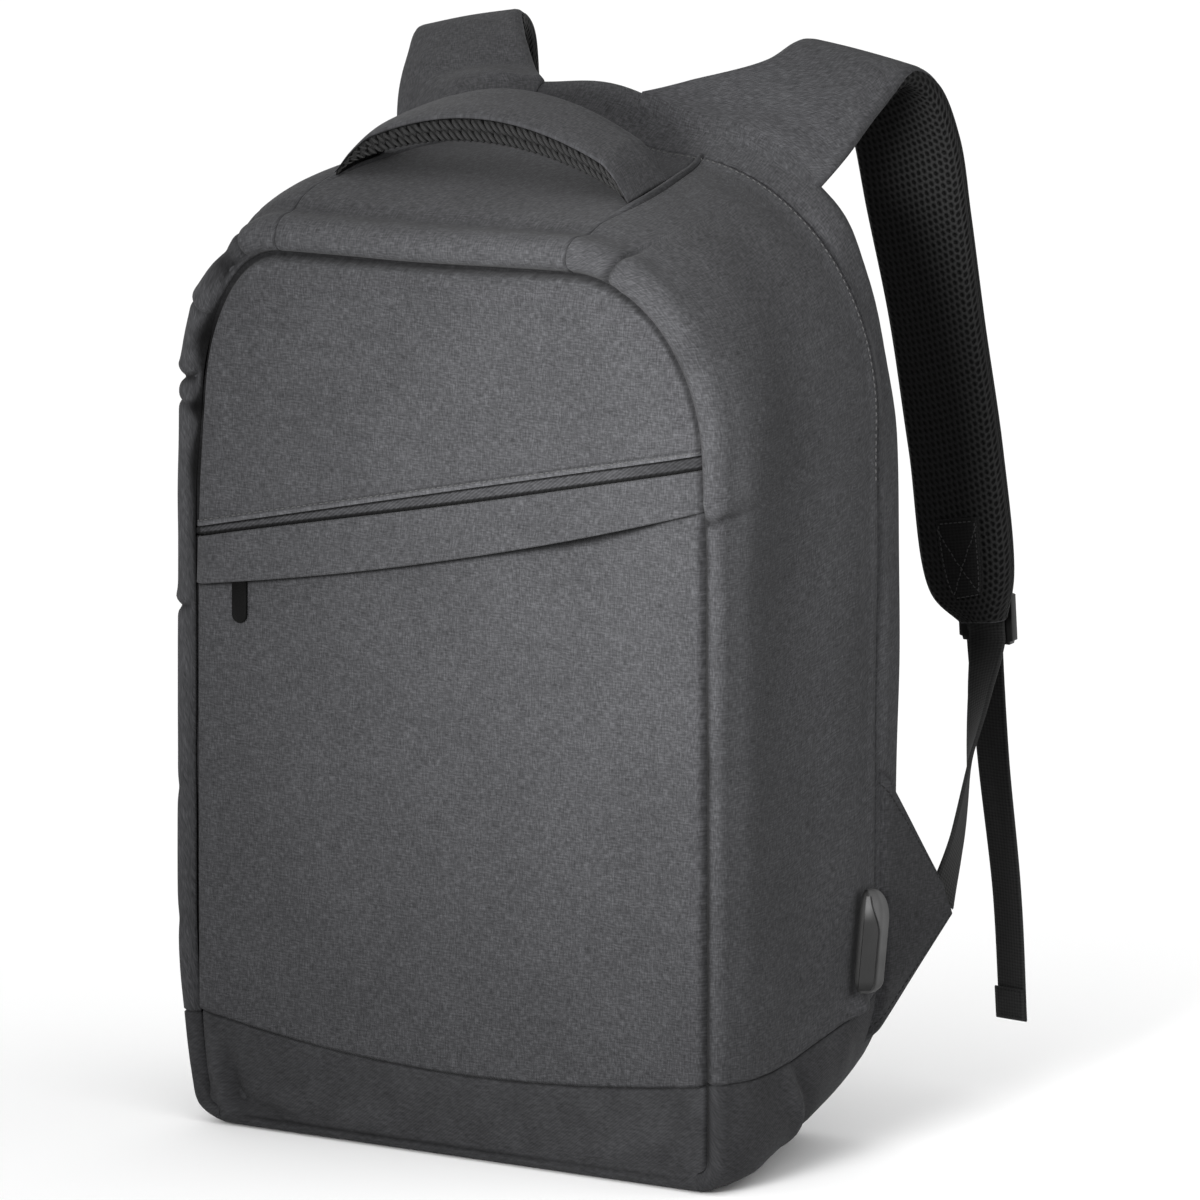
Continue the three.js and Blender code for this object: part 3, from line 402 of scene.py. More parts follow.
SIDE_BROAD_WAVE, SIDE_SMALL_WAVE = (0.55, 62, 1), (0.22, 24, 2)
BAND_WAVE, BACK_WAVE, FLAP_WAVE = (0.3, 40, 3), (0.5, 50, 5), (0.35, 26, 31)
UPPER_WAVES, LOWER_WAVES = ((0.9, 95, 11), (0.35, 40, 12)), ((0.9, 95, 21), (0.35, 40, 22))
BASE_FRONT_WAVES, BASE_SIDE_WAVES = ((0.7, 48, 41), (0.3, 18, 42)), ((0.6, 46, 51), (0.25, 20, 52))
HANDLE_WAVE, STRAP_WAVE, WING_WAVE = (0.3, 24, 61), (0.3, 26, 71), (0.5, 36, 81)


def at_depth(x, depth, z):
    """Points at depths of the body."""
    return np.stack(np.broadcast_arrays(x, depth - HALF_DEPTH, z), -1)


def normals_of(grid):
    return unit(np.cross(np.gradient(grid, axis=0), np.gradient(grid, axis=1)))


def arc(grid, axis):
    """Lengths along one axis of a grid, from its start."""
    step = np.linalg.norm(np.diff(grid, axis=axis), axis=-1)
    pad = [(0, 0), (0, 0)]
    pad[axis] = (1, 0)
    return np.pad(np.cumsum(step, axis=axis), pad)


def row_at_distance(grid, distance, axis, from_end):
    """Index along an axis at a distance from one border, in the middle of the grid."""
    lengths = arc(grid, axis)
    middle = lengths[:, lengths.shape[1] // 2] if axis == 0 else lengths[lengths.shape[0] // 2]
    return nearest(middle, middle[-1] - distance if from_end else distance)


def mirrored(points, side):
    """Points of the right side, moved over to the left where the side is negative."""
    return points * np.array([side, 1.0, 1.0])


# Pieces
MATERIALS, SLOTS = {}, {}
RIM_SHARE = 0.6


def link_mesh(name, vertices, faces, uvs, material, nodes=(), shade=None):
    """One piece of the visual. The shade of a vertex is painted shade and light: it darkens or lightens its
    cloth's colour.
    """
    mesh = bpy.data.meshes.new(name)
    mesh.from_pydata((np.asarray(vertices) * MM).tolist(), [], faces)
    layer = mesh.uv_layers.new(name="weave")
    corners = np.zeros(len(mesh.loops), int)
    mesh.loops.foreach_get("vertex_index", corners)
    layer.data.foreach_set("uv", (np.asarray(uvs)[corners] * MM).ravel())
    mesh.polygons.foreach_set("use_smooth", [True] * len(mesh.polygons))
    shades = mesh.attributes.new("shade", "FLOAT", "POINT")
    shades.data.foreach_set("value", np.ones(len(vertices)) if shade is None else shade)
    mesh.materials.append(MATERIALS[material])
    mesh.update()
    piece = bpy.data.objects.new(name, mesh)
    bpy.context.scene.collection.objects.link(piece)
    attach(piece, "root")
    if nodes:
        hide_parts(*nodes)
    return piece


def border(rows, columns):
    """Indices of the grid places along the border, counter-clockwise in u and v."""
    ring = [(i, 0) for i in range(rows)] + [(rows - 1, j) for j in range(1, columns)]
    ring += [(i, columns - 1) for i in range(rows - 2, -1, -1)]
    ring += [(0, j) for j in range(columns - 2, 0, -1)]
    return tuple(np.array(ring).T)


def slab(name, outer, inner, material, nodes=(), rim=0.6, uv=None, shade=None):
    """A closed sheet between two grids, with a rounded rim. A painted shade is given for the outer grid."""
    outer, inner = outer.copy(), inner.copy()
    rows, columns = outer.shape[:2]
    ring = border(rows, columns)
    middle = (outer[ring] + inner[ring]) / 2
    for grid in (outer, inner):
        for edge, inside in ((np.s_[0], np.s_[1]), (np.s_[-1], np.s_[-2]),
                             (np.s_[:, 0], np.s_[:, 1]), (np.s_[:, -1], np.s_[:, -2])):
            step = grid[inside] - grid[edge]
            size = np.linalg.norm(step, axis=-1, keepdims=True) + CLOSE
            grid[edge] = grid[edge] + step * np.minimum(RIM_SHARE, rim / size)
    if uv is None:
        uv = np.stack([arc(outer, 0), arc(outer, 1)], -1)
    total = rows * columns
    number = np.arange(total).reshape(rows, columns)
    a, b, c, d = number[:-1, :-1], number[1:, :-1], number[1:, 1:], number[:-1, 1:]
    front = np.stack([a, b, c, d], -1).reshape(-1, 4)
    behind = np.stack([a, d, c, b], -1).reshape(-1, 4) + total
    edge = number[ring]
    mid = 2 * total + np.arange(len(edge))
    after, mid_after = np.roll(edge, -1), np.roll(mid, -1)
    rim_front = np.stack([after, edge, mid, mid_after], -1)
    rim_behind = np.stack([mid_after, mid, edge + total, after + total], -1)
    faces = np.concatenate([front, behind, rim_front, rim_behind]).tolist()
    vertices = np.concatenate([outer.reshape(-1, 3), inner.reshape(-1, 3), middle])
    flat_uv = uv.reshape(-1, 2)
    uvs = np.concatenate([flat_uv, flat_uv, flat_uv[edge]])
    flat_shade = np.ones(total) if shade is None else shade.ravel()
    shades = np.concatenate([flat_shade, np.ones(total), flat_shade[edge]])
    return link_mesh(name, vertices, faces, uvs, material, nodes, shades)


def wall(name, grid, lift, thickness, material, nodes, rim=0.6, uv=None, shade=None):
    """A sheet behind a grid that is lifted along its normals."""
    out = normals_of(grid)
    outer, inner = grid + lift[..., None] * out, grid - thickness * out
    return slab(name, outer, inner, material, nodes, rim, uv, shade)


def tube(name, rings, material, nodes):
    """A skin through rings of points, with its ends closed."""
    count, size = rings.shape[:2]
    number = np.arange(count * size).reshape(count, size)
    a, b = number[:-1], number[1:]
    faces = np.stack([a, np.roll(a, -1, 1), np.roll(b, -1, 1), b], -1).reshape(-1, 4).tolist()
    faces += [number[0][::-1].tolist(), number[-1].tolist()]
    girth = arc(np.concatenate([rings, rings[:, :1]], 1), 1)[:, :-1]
    uv = np.stack([girth, arc(rings, 0)], -1).reshape(-1, 2)
    return link_mesh(name, rings.reshape(-1, 3), faces, uv, material, nodes)


# Threads: small rounded capsules for stitches and braid
THREAD_RING = 6
# Place along a thread and its share of the thread's radius there
THREAD_PROFILE = ((0.0, 0.35), (0.2, 0.9), (0.5, 1.0), (0.8, 0.9), (1.0, 0.35))


class Threads:
    """Short threads gathered into one piece."""

    def __init__(self):
        self.vertices, self.faces, self.uvs = [], [], []

    def add(self, start, end, out, radius, arch=0.9, sink=0.35):
        """One thread, arched outwards between two points."""
        length = np.linalg.norm(end - start)
        step = unit(end - start)
        side = unit(np.cross(out, step))
        out = np.cross(step, side)
        first, ring = len(self.vertices), THREAD_RING
        for t, swell in THREAD_PROFILE:
            centre = lerp(start, end, t) + out * radius * (arch * math.sin(math.pi * t) - sink)
            for k in range(ring):
                a = 2 * math.pi * k / ring
                self.vertices.append(centre + radius * swell * (math.cos(a) * side + math.sin(a) * out))
                self.uvs.append((radius * a, length * t))
        for r in range(len(THREAD_PROFILE) - 1):
            for k in range(ring):
                p, q = first + r * ring + k, first + r * ring + (k + 1) % ring
                self.faces.append((p, q, q + ring, p + ring))
        last = first + (len(THREAD_PROFILE) - 1) * ring
        self.faces.append(tuple(first + k for k in reversed(range(ring))))
        self.faces.append(tuple(last + k for k in range(ring)))

    def along(self, points, outs, length, gap, radius):
        """A row of stitches along a line of points with outward directions."""
        s = lengths_along(points)
        for start in np.arange(gap, s[-1] - length, length + gap):
            ends = on_line(start, s, points), on_line(start + length, s, points)
            self.add(*ends, on_line(start, s, outs), radius)

    def piece(self, name, material, slot=None):
        return link_mesh(name, self.vertices, self.faces, self.uvs, material)


def stitches(name, lines, material, length, gap, radius, slot=None):
    threads = Threads()
    for points, outs in lines:
        threads.along(points, outs, length, gap, radius)
    return threads.piece(name, material, slot)


# Materials
PLAIN, COOL = (1.0, 1.0, 1.0), (0.985, 0.99, 1.05)


def linear(level, tint):
    """A grey level from 0 to 255 as a linear colour."""
    c = level / 255
    value = c / 12.92 if c <= 0.04045 else ((c + 0.055) / 1.055) ** 2.4
    return tuple(value * t for t in tint)


class Value:
    """A number that a material's nodes work out, with plain arithmetic."""

    def __init__(self, weave, socket):
        self.weave, self.socket = weave, socket

    def __add__(self, other):
        return self.weave.math("ADD", self, other)

    def __sub__(self, other):
        return self.weave.math("SUBTRACT", self, other)

    def __mul__(self, other):
        return self.weave.math("MULTIPLY", self, other)


class Weave:
    """One material, with short names for its nodes."""

    def __init__(self, name, slot):
        material = bpy.data.materials.new(name)
        material.use_nodes = True
        MATERIALS[name], SLOTS[name] = material, slot
        self.tree = material.node_tree
        self.shader = self.tree.nodes["Principled BSDF"]

    def node(self, kind, **values):
        """A new node, with numbers set and values linked on its named sockets."""
        node = self.tree.nodes.new("ShaderNode" + kind)
        for name, value in values.items():
            self.give(node.inputs[name], value)
        return node

    def give(self, socket, value):
        if isinstance(value, Value):
            self.tree.links.new(value.socket, socket)
        elif isinstance(value, bpy.types.NodeSocket):
            self.tree.links.new(value, socket)
        else:
            socket.default_value = value

    def mapped(self, scale, angle):
        uv = self.node("UVMap")
        uv.uv_map = "weave"
        node = self.node("Mapping", Vector=uv.outputs["UV"], Scale=(*scale, 1),
                         Rotation=(0, 0, math.radians(angle)))
        return node.outputs["Vector"]

    def noise(self, scale, angle=0.0):
        node = self.node("TexNoise", Vector=self.mapped(scale, angle), Scale=1.0, Detail=2.0, Roughness=0.5)
        return Value(self, node.outputs["Fac"])

    def solid_noise(self, scale, detail):
        place = self.node("TexCoord").outputs["Object"]
        return Value(self, self.node("TexNoise", Vector=place, Scale=scale, Detail=detail).outputs["Fac"])

    def math(self, kind, *values, clamp=False):
        node = self.node("Math")
        node.operation = kind
        node.use_clamp = clamp
        for socket, value in zip(node.inputs, values):
            self.give(socket, value)
        return Value(self, node.outputs["Value"])

    def cosine(self, waves, angle=0.0):
        """A cosine band across the weave, with so many waves to a metre."""
        node = self.node("SeparateXYZ", Vector=self.mapped((waves, waves), angle))
        return self.math("COSINE", Value(self, node.outputs["X"]) * (2 * math.pi))

    def ribs(self, waves, angle=0.0):
        """A cosine band from 0 to 1."""
        return (self.cosine(waves, angle) + 1.0) * 0.5

    def colour(self, mix, places, levels, tint=PLAIN):
        """Grey levels at places of a mix, times the painted shade and light that the vertices carry."""
        node = self.node("ValToRGB", Fac=mix)
        ramp = node.color_ramp
        while len(ramp.elements) < len(places):
            ramp.elements.new(0.5)
        for element, place, level in zip(ramp.elements, places, levels):
            element.position = place
            element.color = (*linear(level, tint), 1)
        shade = self.node("Attribute")
        shade.attribute_name = "shade"
        scaled = self.node("VectorMath")
        scaled.operation = "SCALE"
        self.give(scaled.inputs[0], node.outputs["Color"])
        self.give(scaled.inputs["Scale"], shade.outputs["Fac"])
        self.give(self.shader.inputs["Base Color"], scaled.outputs["Vector"])

    def emboss(self, height, strength, distance):
        node = self.node("Bump", Strength=strength, Distance=distance, Height=height)
        self.give(self.shader.inputs["Normal"], node.outputs["Normal"])

    def finish(self, rough, specular, sheen=0.0, sheen_rough=0.5):
        values = {"Roughness": rough, "Specular IOR Level": specular, "Sheen Weight": sheen,
                  "Sheen Roughness": sheen_rough}
        for name, value in values.items():
            self.give(self.shader.inputs[name], value)


def melange(name, *levels):
    """Heathered cloth: fine pale and dark fibres both ways over a plain weave."""
    w = Weave(name, "melange")
    fibre = w.noise((290, 1400)) * 0.5 + w.noise((1400, 290)) * 0.5
    for scale, share in ((130, 0.14), (22, 0.10)):
        fibre = fibre + (w.noise((scale, scale)) - 0.5) * share
    w.colour(fibre, (0.32, 0.5, 0.68), levels, COOL)
    w.emboss(w.cosine(1250) * w.cosine(1250, 90) * 0.4 + fibre * 1.6, strength=0.2, distance=0.0003)
    w.finish(rough=0.95, specular=0.08, sheen=0.03, sheen_rough=0.55)


def twill(name, levels, waves, bump, rib_share):
    """Diagonal twill with slightly uneven threads."""
    w = Weave(name, name)
    ribs = w.ribs(waves, 52)
    threads = w.noise((320, 800), 35)
    mix = ribs * rib_share + threads * 0.6 + w.noise((60, 60)) * (0.38 - rib_share)
    w.colour(mix, (0.3, 0.5, 0.72), levels, COOL)
    w.emboss(ribs + threads * 0.8, strength=bump, distance=0.0003)
    w.finish(rough=0.88, specular=0.1, sheen=0.02)


def spacer_mesh(name, hole, strand, pitch):
    """Knitted spacer mesh: rows of small six-sided holes."""
    w = Weave(name, "mesh")
    waves = 1000 / pitch / 0.866
    cells = w.cosine(waves, 0) + w.cosine(waves, 60) + w.cosine(waves, 120)
    cells = w.math("DIVIDE", cells + 1.5, 4.5, clamp=True)
    mix = cells * -0.8 + w.noise((900, 900)) * 0.5 + 0.55
    w.colour(mix, (0.3, 0.62, 0.9), (hole, strand, strand * 1.35))
    w.emboss(mix, strength=0.9, distance=0.0012)
    w.finish(rough=0.7, specular=0.08)


def ribbed(name, slot, dark, light, across, along):
    """Woven webbing or thread: ribs across its width and fine threads along it."""
    w = Weave(name, slot)
    mix = w.ribs(along, 90) * 0.35 + w.ribs(across) * 0.25 + w.noise((800, 800)) * 0.5
    w.colour(mix, (0.25, 0.8), (dark, light))
    w.emboss(mix, strength=0.6, distance=0.0005)
    w.finish(rough=0.7, specular=0.12)


def moulded(name, slot, dark, light, rough, specular=0.3):
    """Moulded plastic or rubber with a fine grain and gloss slightly uneven from wear."""
    w = Weave(name, slot)
    wear = w.solid_noise(60, 2.0)
    w.colour(wear, (0.3, 0.7), (dark, light))
    w.emboss(w.solid_noise(900, 3), strength=0.15, distance=0.0002)
    w.finish(rough=wear * 0.2 + (rough - 0.1), specular=specular)


melange("melange", 35, 49, 65)
melange("melange_wing", 28, 40, 54)
twill("twill", (32, 43, 54), waves=900, bump=0.25, rib_share=0.08)
twill("tape", (37, 49, 62), waves=760, bump=0.7, rib_share=0.2)
spacer_mesh("mesh", hole=1, strand=23, pitch=3.4)
spacer_mesh("mesh_back", hole=4, strand=22, pitch=3.2)
ribbed("webbing", "webbing", 14, 34, across=500, along=700)
ribbed("binding", "webbing", 6, 20, across=500, along=700)
ribbed("yarn", "mesh", 12, 46, across=1500, along=1500)
ribbed("thread", "melange", 52, 82, across=2000, along=3000)
ribbed("thread_mid", "webbing", 34, 58, across=2000, along=3000)
ribbed("thread_dark", "melange", 18, 34, across=2000, along=3000)
moulded("plastic", "plastic", 12, 20, rough=0.4)
moulded("puller", "plastic", 3, 6, rough=0.75, specular=0.08)
moulded("rubber", "rubber", 50, 60, rough=0.5, specular=0.15)
moulded("rubber_dark", "rubber", 22, 27, rough=0.45, specular=0.15)

# Puckers of the edge roll, by the nearest place on the front outline
PUCKERS = [
    # x, z, width, depth, slant
    (-147, 336, 3.0, 3.2, 0.5),
    (-147, 341, 4.0, -0.8, 0.0),
    (-147, 324, 2.0, 1.6, -0.8),
    (-140, 369, 1.8, 1.7, -0.4),
    (-123, 391, 12.0, 3.2, 0.0),
    (-140, 373, 6.0, -1.2, 0.0),
    (-112, 397, 1.6, 1.3, 0.9),
    (-148, 233, 2.4, 2.2, 0.2),
    (-148, 237, 4.0, -0.8, 0.0),
    (-148, 150, 6.0, 0.7, 0.2),
    (-148, 90, 9.0, 0.7, 0.0),
    (88, 405, 2.2, 2.2, -0.8),
    (97, 401, 6.0, -0.8, 0.0),
    (133, 372, 9.0, 0.6, 0.0),
    (147, 299, 2.6, 2.4, 0.4),
    (147, 308, 7.0, -1.1, 0.0),
    (148, 190, 12.0, 0.5, 0.0),
    (148, 120, 10.0, 0.4, 0.0),
]
# How far a pucker reaches, and the painted shade in its pinch with its limit
PUCKER_REACH, PUCKER_DARK, PUCKER_DARK_LIMIT = 16, 0.24, 3
# Shares of the roll where it is read for the nearest place, and where a pucker rises and fades
ROLL_FRONT, PUCKER_RISE, PUCKER_FALL = 0.45, (0.1, 0.35), (0.9, 1.35)
# A pucker is a wide bell with a narrow one in it: the share of the depth and of the width that each has
PUCKER_BELLS = ((0.6, 1.0), (0.4, 0.45))


def pucker_lift(grid, us):
    """Lift that pinches the edge roll where it is gathered."""
    front = grid[nearest(us, ROLL_SHARE * ROLL_FRONT)]
    lengths = lengths_along(front)
    share = (us / ROLL_SHARE)[:, None]
    on_roll = plateau(share, PUCKER_RISE, PUCKER_FALL)
    lift = np.zeros(grid.shape[:2])
    for x, z, width, depth, slant in PUCKERS:
        distance = np.hypot(front[:, 0] - x, front[:, 2] - z)
        if distance.min() < PUCKER_REACH:
            along = lengths - lengths[distance.argmin()] - slant * width * (share - 0.5) * 2
            lift -= depth * on_roll * sum(part * bell(along, 0, width * wide) for part, wide in PUCKER_BELLS)
    return lift


# The roll stands out a little round its front, sinks where it meets the panel and has a soft valley behind
# it. Low on the right it lies flat. On top, painted shade darkens that valley and a painted highlight runs
# along the crest.
ROLL_BULGE = Numbers(height=1.1, share=0.66, width=0.28, more_on_top=0.4)
ROLL_FLAT = Numbers(by=0.8, x=(90, 135))
ROLL_ROOT = Numbers(depth=2.2, share=(0.16, 0.42), right=0.3, right_x=(60, 110), low=0.2, low_z=(225, 300),
                    uneven=(0.35, 1.05), bumps=26, seed=4, less_on_top=0.5)
ROLL_VALLEY = Numbers(depth=0.9, top_depth=2.2, behind=6.5, width=5.0, dark=0.2)
ROLL_CREST = Numbers(pale=0.14, share=0.6, width=0.25)
TOP_ROLL_X, TOP_ROLL_Z = (60, 95), (385, 405)


def roll_on_top(grid):
    """1 along the top, where the roll is round, and 0 down the sides."""
    return smoothstep(grid[..., 2], *TOP_ROLL_Z) * fade(grid[..., 0], *TOP_ROLL_X)


def roll_lift(grid, us, across):
    x, z = grid[..., 0], grid[..., 2]
    share = (us / ROLL_SHARE)[:, None]
    on_top = roll_on_top(grid)
    rounded = 1 - ROLL_FLAT.by * smoothstep(x, *ROLL_FLAT.x)
    bulge = ROLL_BULGE.height * (1 + ROLL_BULGE.more_on_top * on_top)
    root = lerp(ROLL_ROOT.right, 1, fade(x, *ROLL_ROOT.right_x))
    root *= lerp(ROLL_ROOT.low, 1, smoothstep(z, *ROLL_ROOT.low_z))
    along = grid * np.array([0, 0, 1.0])
    root *= lerp(*ROLL_ROOT.uneven, 0.5 + 0.5 * noise(along, ROLL_ROOT.bumps, ROLL_ROOT.seed))
    root *= ROLL_ROOT.depth * (1 - ROLL_ROOT.less_on_top * on_top)
    valley = lerp(ROLL_VALLEY.depth, ROLL_VALLEY.top_depth, on_top)
    behind = across - across[nearest(us, ROLL_SHARE)]
    return (rounded * bulge * bell(share, ROLL_BULGE.share, ROLL_BULGE.width)
            - root * fade(share, *ROLL_ROOT.share)
            - rounded * valley * bell(behind, ROLL_VALLEY.behind, ROLL_VALLEY.width))


# Painted shade darkens the cloth deep in a crease. Along the edge of the front this varies: it is thin high
# on the right.
EDGE_DARK = Numbers(left=0.7, left_low=0.4, left_z=(200, 290), right=0.9, right_x=(100, 130),
                    high_right=0.5)
EDGE_REACH = Numbers(far_left=0.1, left=0.2, left_x=(-140, -90), right=0.42, high_right=0.3,
                     right_x=(60, 130))
HIGH_RIGHT_X, HIGH_RIGHT_Z = (60, 120), (288, 306)
ROLL_DARK_REACH, PANEL_DARK_REACH, BASE_DARK_REACH = (0.5, 1.25), (0.4, 1.8), (0.3, 1.6)
# On the left the roll gapes in places, and painted shade covers more of its inner side
LEFT_GAPES = [
    # height, half length, extra reach of painted shade over the roll, extra painted shade
    (355, 13, 0.38, 0.22),
    (323, 5, 0.36, 0.22),
    (297, 16, 0.26, 0.16),
    (264, 18, 0.08, 0.05),
]
GAPE_REACH, GAPE_DARK, GAPES_X = 2, 3, (-125, -95)


def high_right(x, z):
    return smoothstep(x, *HIGH_RIGHT_X) * smoothstep(z, *HIGH_RIGHT_Z)


def left_gape(x, z, column):
    return sum(row[column] * bell(z, row[0], row[1]) for row in LEFT_GAPES) * fade(x, *GAPES_X)


def edge_dark(x, z):
    left = lerp(EDGE_DARK.left_low, EDGE_DARK.left, smoothstep(z, *EDGE_DARK.left_z))
    left = left + left_gape(x, z, GAPE_DARK)
    dark = lerp(left, EDGE_DARK.right, smoothstep(x, *EDGE_DARK.right_x))
    return lerp(dark, EDGE_DARK.high_right, high_right(x, z))


def line_shade(distance, dark, low, high):
    """Painted shade of cloth beside a line, dark up to one distance and plain from another."""
    return 1 - dark * fade(distance, low, high)


def roll_shade(grid, share, across):
    """Painted shade of the edge roll, dark at its root and over more of it on the right, with a painted
    highlight along its crest and painted shade behind it on top.
    """
    x, z = grid[..., 0], grid[..., 2]
    left = lerp(EDGE_REACH.far_left, EDGE_REACH.left, smoothstep(x, *EDGE_REACH.left_x))
    right = lerp(EDGE_REACH.right, EDGE_REACH.high_right, high_right(x, z))
    reach = lerp(left, right, smoothstep(x, *EDGE_REACH.right_x)) + left_gape(x, z, GAPE_REACH)
    valley = bell(across - across[nearest(share, 1)], ROLL_VALLEY.behind + 1, ROLL_VALLEY.width)
    crest = ROLL_CREST.pale * bell(share, ROLL_CREST.share, ROLL_CREST.width)[:, None]
    crest = 1 + roll_on_top(grid) * (crest - ROLL_VALLEY.dark * valley)
    return crest * line_shade(share[:, None] / reach, edge_dark(x, z), *ROLL_DARK_REACH)


# The cloth of the right side turns softly behind the roll: how far it swells, and where
SIDE_TURN = Numbers(height=2.4, share=0.8, behind=14, fades=50, x=(120, 140))


def side_turn(grid, us, across):
    behind = across - across[nearest(us, ROLL_SHARE * SIDE_TURN.share)]
    swell = plateau(behind, (0, SIDE_TURN.behind), (SIDE_TURN.behind, SIDE_TURN.fades))
    return SIDE_TURN.height * swell * smoothstep(grid[..., 0], *SIDE_TURN.x)


# Folds and creases of cloth. Each lies along a line through a middle place, with an angle in degrees.
SIDE_FOLDS = [
    # depth, z, angle, half width, half length, height
    (30, 330, 78, 16, 70, 1.2),
    (58, 300, 84, 14, 60, -0.9),
    (22, 180, 88, 12, 90, 0.8),
    (70, 150, 86, 18, 80, -0.8),
    (92, 240, 90, 14, 90, 0.7),
    (40, 90, 60, 10, 30, 0.9),
    (100, 70, 50, 9, 24, 1.0),
    (104, 67, 90, 7, 7, 5.0),
    (60, 230, 90, 28, 190, -2.2),
]
SIDE_FOLDS_FROM = (6, 20)
FRONT_CREASES = [
    # x, z, angle, half width, half length, height
    (-124, 22, 105, 3.2, 18, 2.6),
    (-115, 18, 108, 4.0, 16, -2.9),
    (-96, 9, 165, 3.5, 26, -2.0),
    (-60, 14, 172, 5.0, 34, 1.1),
    (96, 16, 15, 5.0, 30, 1.2),
    (122, 26, 70, 4.0, 16, -1.4),
]
BASE_SIDE_CREASES = [
    # depth, z, angle, half width, half length, height
    (58, 32, 123, 4.5, 30, 2.6),
    (66, 32, 123, 6.0, 28, -2.6),
    (96, 52, 120, 6.0, 20, 0.9),
    (30, 24, 95, 7.0, 24, 0.6),
]
# How strongly a crease's height paints light and shade on the cloth, and its limit
CREASE_SHADING, CREASE_SHADING_LIMIT = 0.09, 3


def crease_lift(x, z, creases):
    lift = np.zeros(x.shape)
    for x0, z0, angle, width, length, height in creases:
        c, s = math.cos(math.radians(angle)), math.sin(math.radians(angle))
        along, over = (x - x0) * c + (z - z0) * s, -(x - x0) * s + (z - z0) * c
        lift += height * bell(along, 0, length) * bell(over, 0, width)
    return lift


def crease_shade(creases):
    """Painted light on a fold of creased cloth and painted shade in its valley."""
    return 1 + CREASE_SHADING * np.clip(creases, -CREASE_SHADING_LIMIT, CREASE_SHADING_LIMIT)


# Seams are sunk, with painted shade along them. The felled seams of the top carry a stitched fold that stands
# up towards the back, with a line of painted shade beside it.
SEAM_DARK, SEAM_DARK_REACH, SEAM_SINK, SEAM_SINK_REACH = 0.5, (0.3, 1.4), 2.2, (0.2, 1.8)
FELLED = Numbers(depth=(30, 46), rise=(0.5, 1.4), fall=(2.8, 3.8), sink=0.6, sink_at=4.6, sink_width=0.8,
                 dark=0.35, dark_at=4.4, dark_width=0.7)
RIDGE_FOLD = Numbers(height=0.5, reach=(4.6, 6.4), sink=1.6, sink_reach=(0.4, 1.8))


def seam_sink(distance):
    return SEAM_SINK * fade(distance, *SEAM_SINK_REACH)


def seam_shade(distance):
    return line_shade(distance, SEAM_DARK, *SEAM_DARK_REACH)


# Port low on the right side: a moulded hood whose sloped front carries a soft cover
PORT = Numbers(depth=103, height=96.5, long=46, lean=9, stand=0.8, low_edge=0.12, top_reach=0.3,
               low_reach=0.14, sink=2.0, narrow=0.35, inside=0.5)
PORT_SLOPE = math.tan(math.radians(PORT.lean))
# Painted shadow along the front of the port: how dark, where its middle lies, how wide, and where it ends
PORT_SHADOW = Numbers(dark=0.75, middle=-2.0, width=3.0, ends=(0.46, 0.55))


def port_shade(grid):
    """Painted shadow on the right side's cloth, dark along the front of the port."""
    up = grid[..., 2] - PORT.height
    front = PORT.depth + up * PORT_SLOPE - HALF_DEPTH
    beside = bell(grid[..., 1] - front, PORT_SHADOW.middle, PORT_SHADOW.width) * (grid[..., 0] > 0)
    return 1 - PORT_SHADOW.dark * beside * fade(np.abs(up) / PORT.long, *PORT_SHADOW.ends)


# The lower left corner is pressed in: how far, and how high and deep that reaches
CRUSH = Numbers(by=12.0, height=100, depth=(8, 60))


def crush(depth, z):
    return CRUSH.by * np.clip(1 - z / CRUSH.height, 0, 1) ** 2 * fade(depth, *CRUSH.depth)


def crushed(grid):
    """A grid of the body with its lower left corner pressed in."""
    moved = grid.copy()
    moved[..., 0] += crush(grid[..., 1] + HALF_DEPTH, grid[..., 2]) * (grid[..., 0] < 0)
    return moved


# Gussets with the puffy front edge, and more rows where the port is
PORT_ROWS = np.linspace(0.88, 0.955, 9)
GUSSET_US = joined(np.linspace(0, ROLL_SHARE, 22), eased(46, ROLL_SHARE, 1, 1.35))
GUSSET_US = np.sort(np.concatenate([GUSSET_US, PORT_ROWS]))
SIDE_WAVES_FROM = (ROLL_SHARE, ROLL_SHARE + 0.1)
SIDE_VS = joined(spread(230, 0, SHOULDER_SHARE, 0.2), eased(160, SHOULDER_SHARE, 1, 1.1))


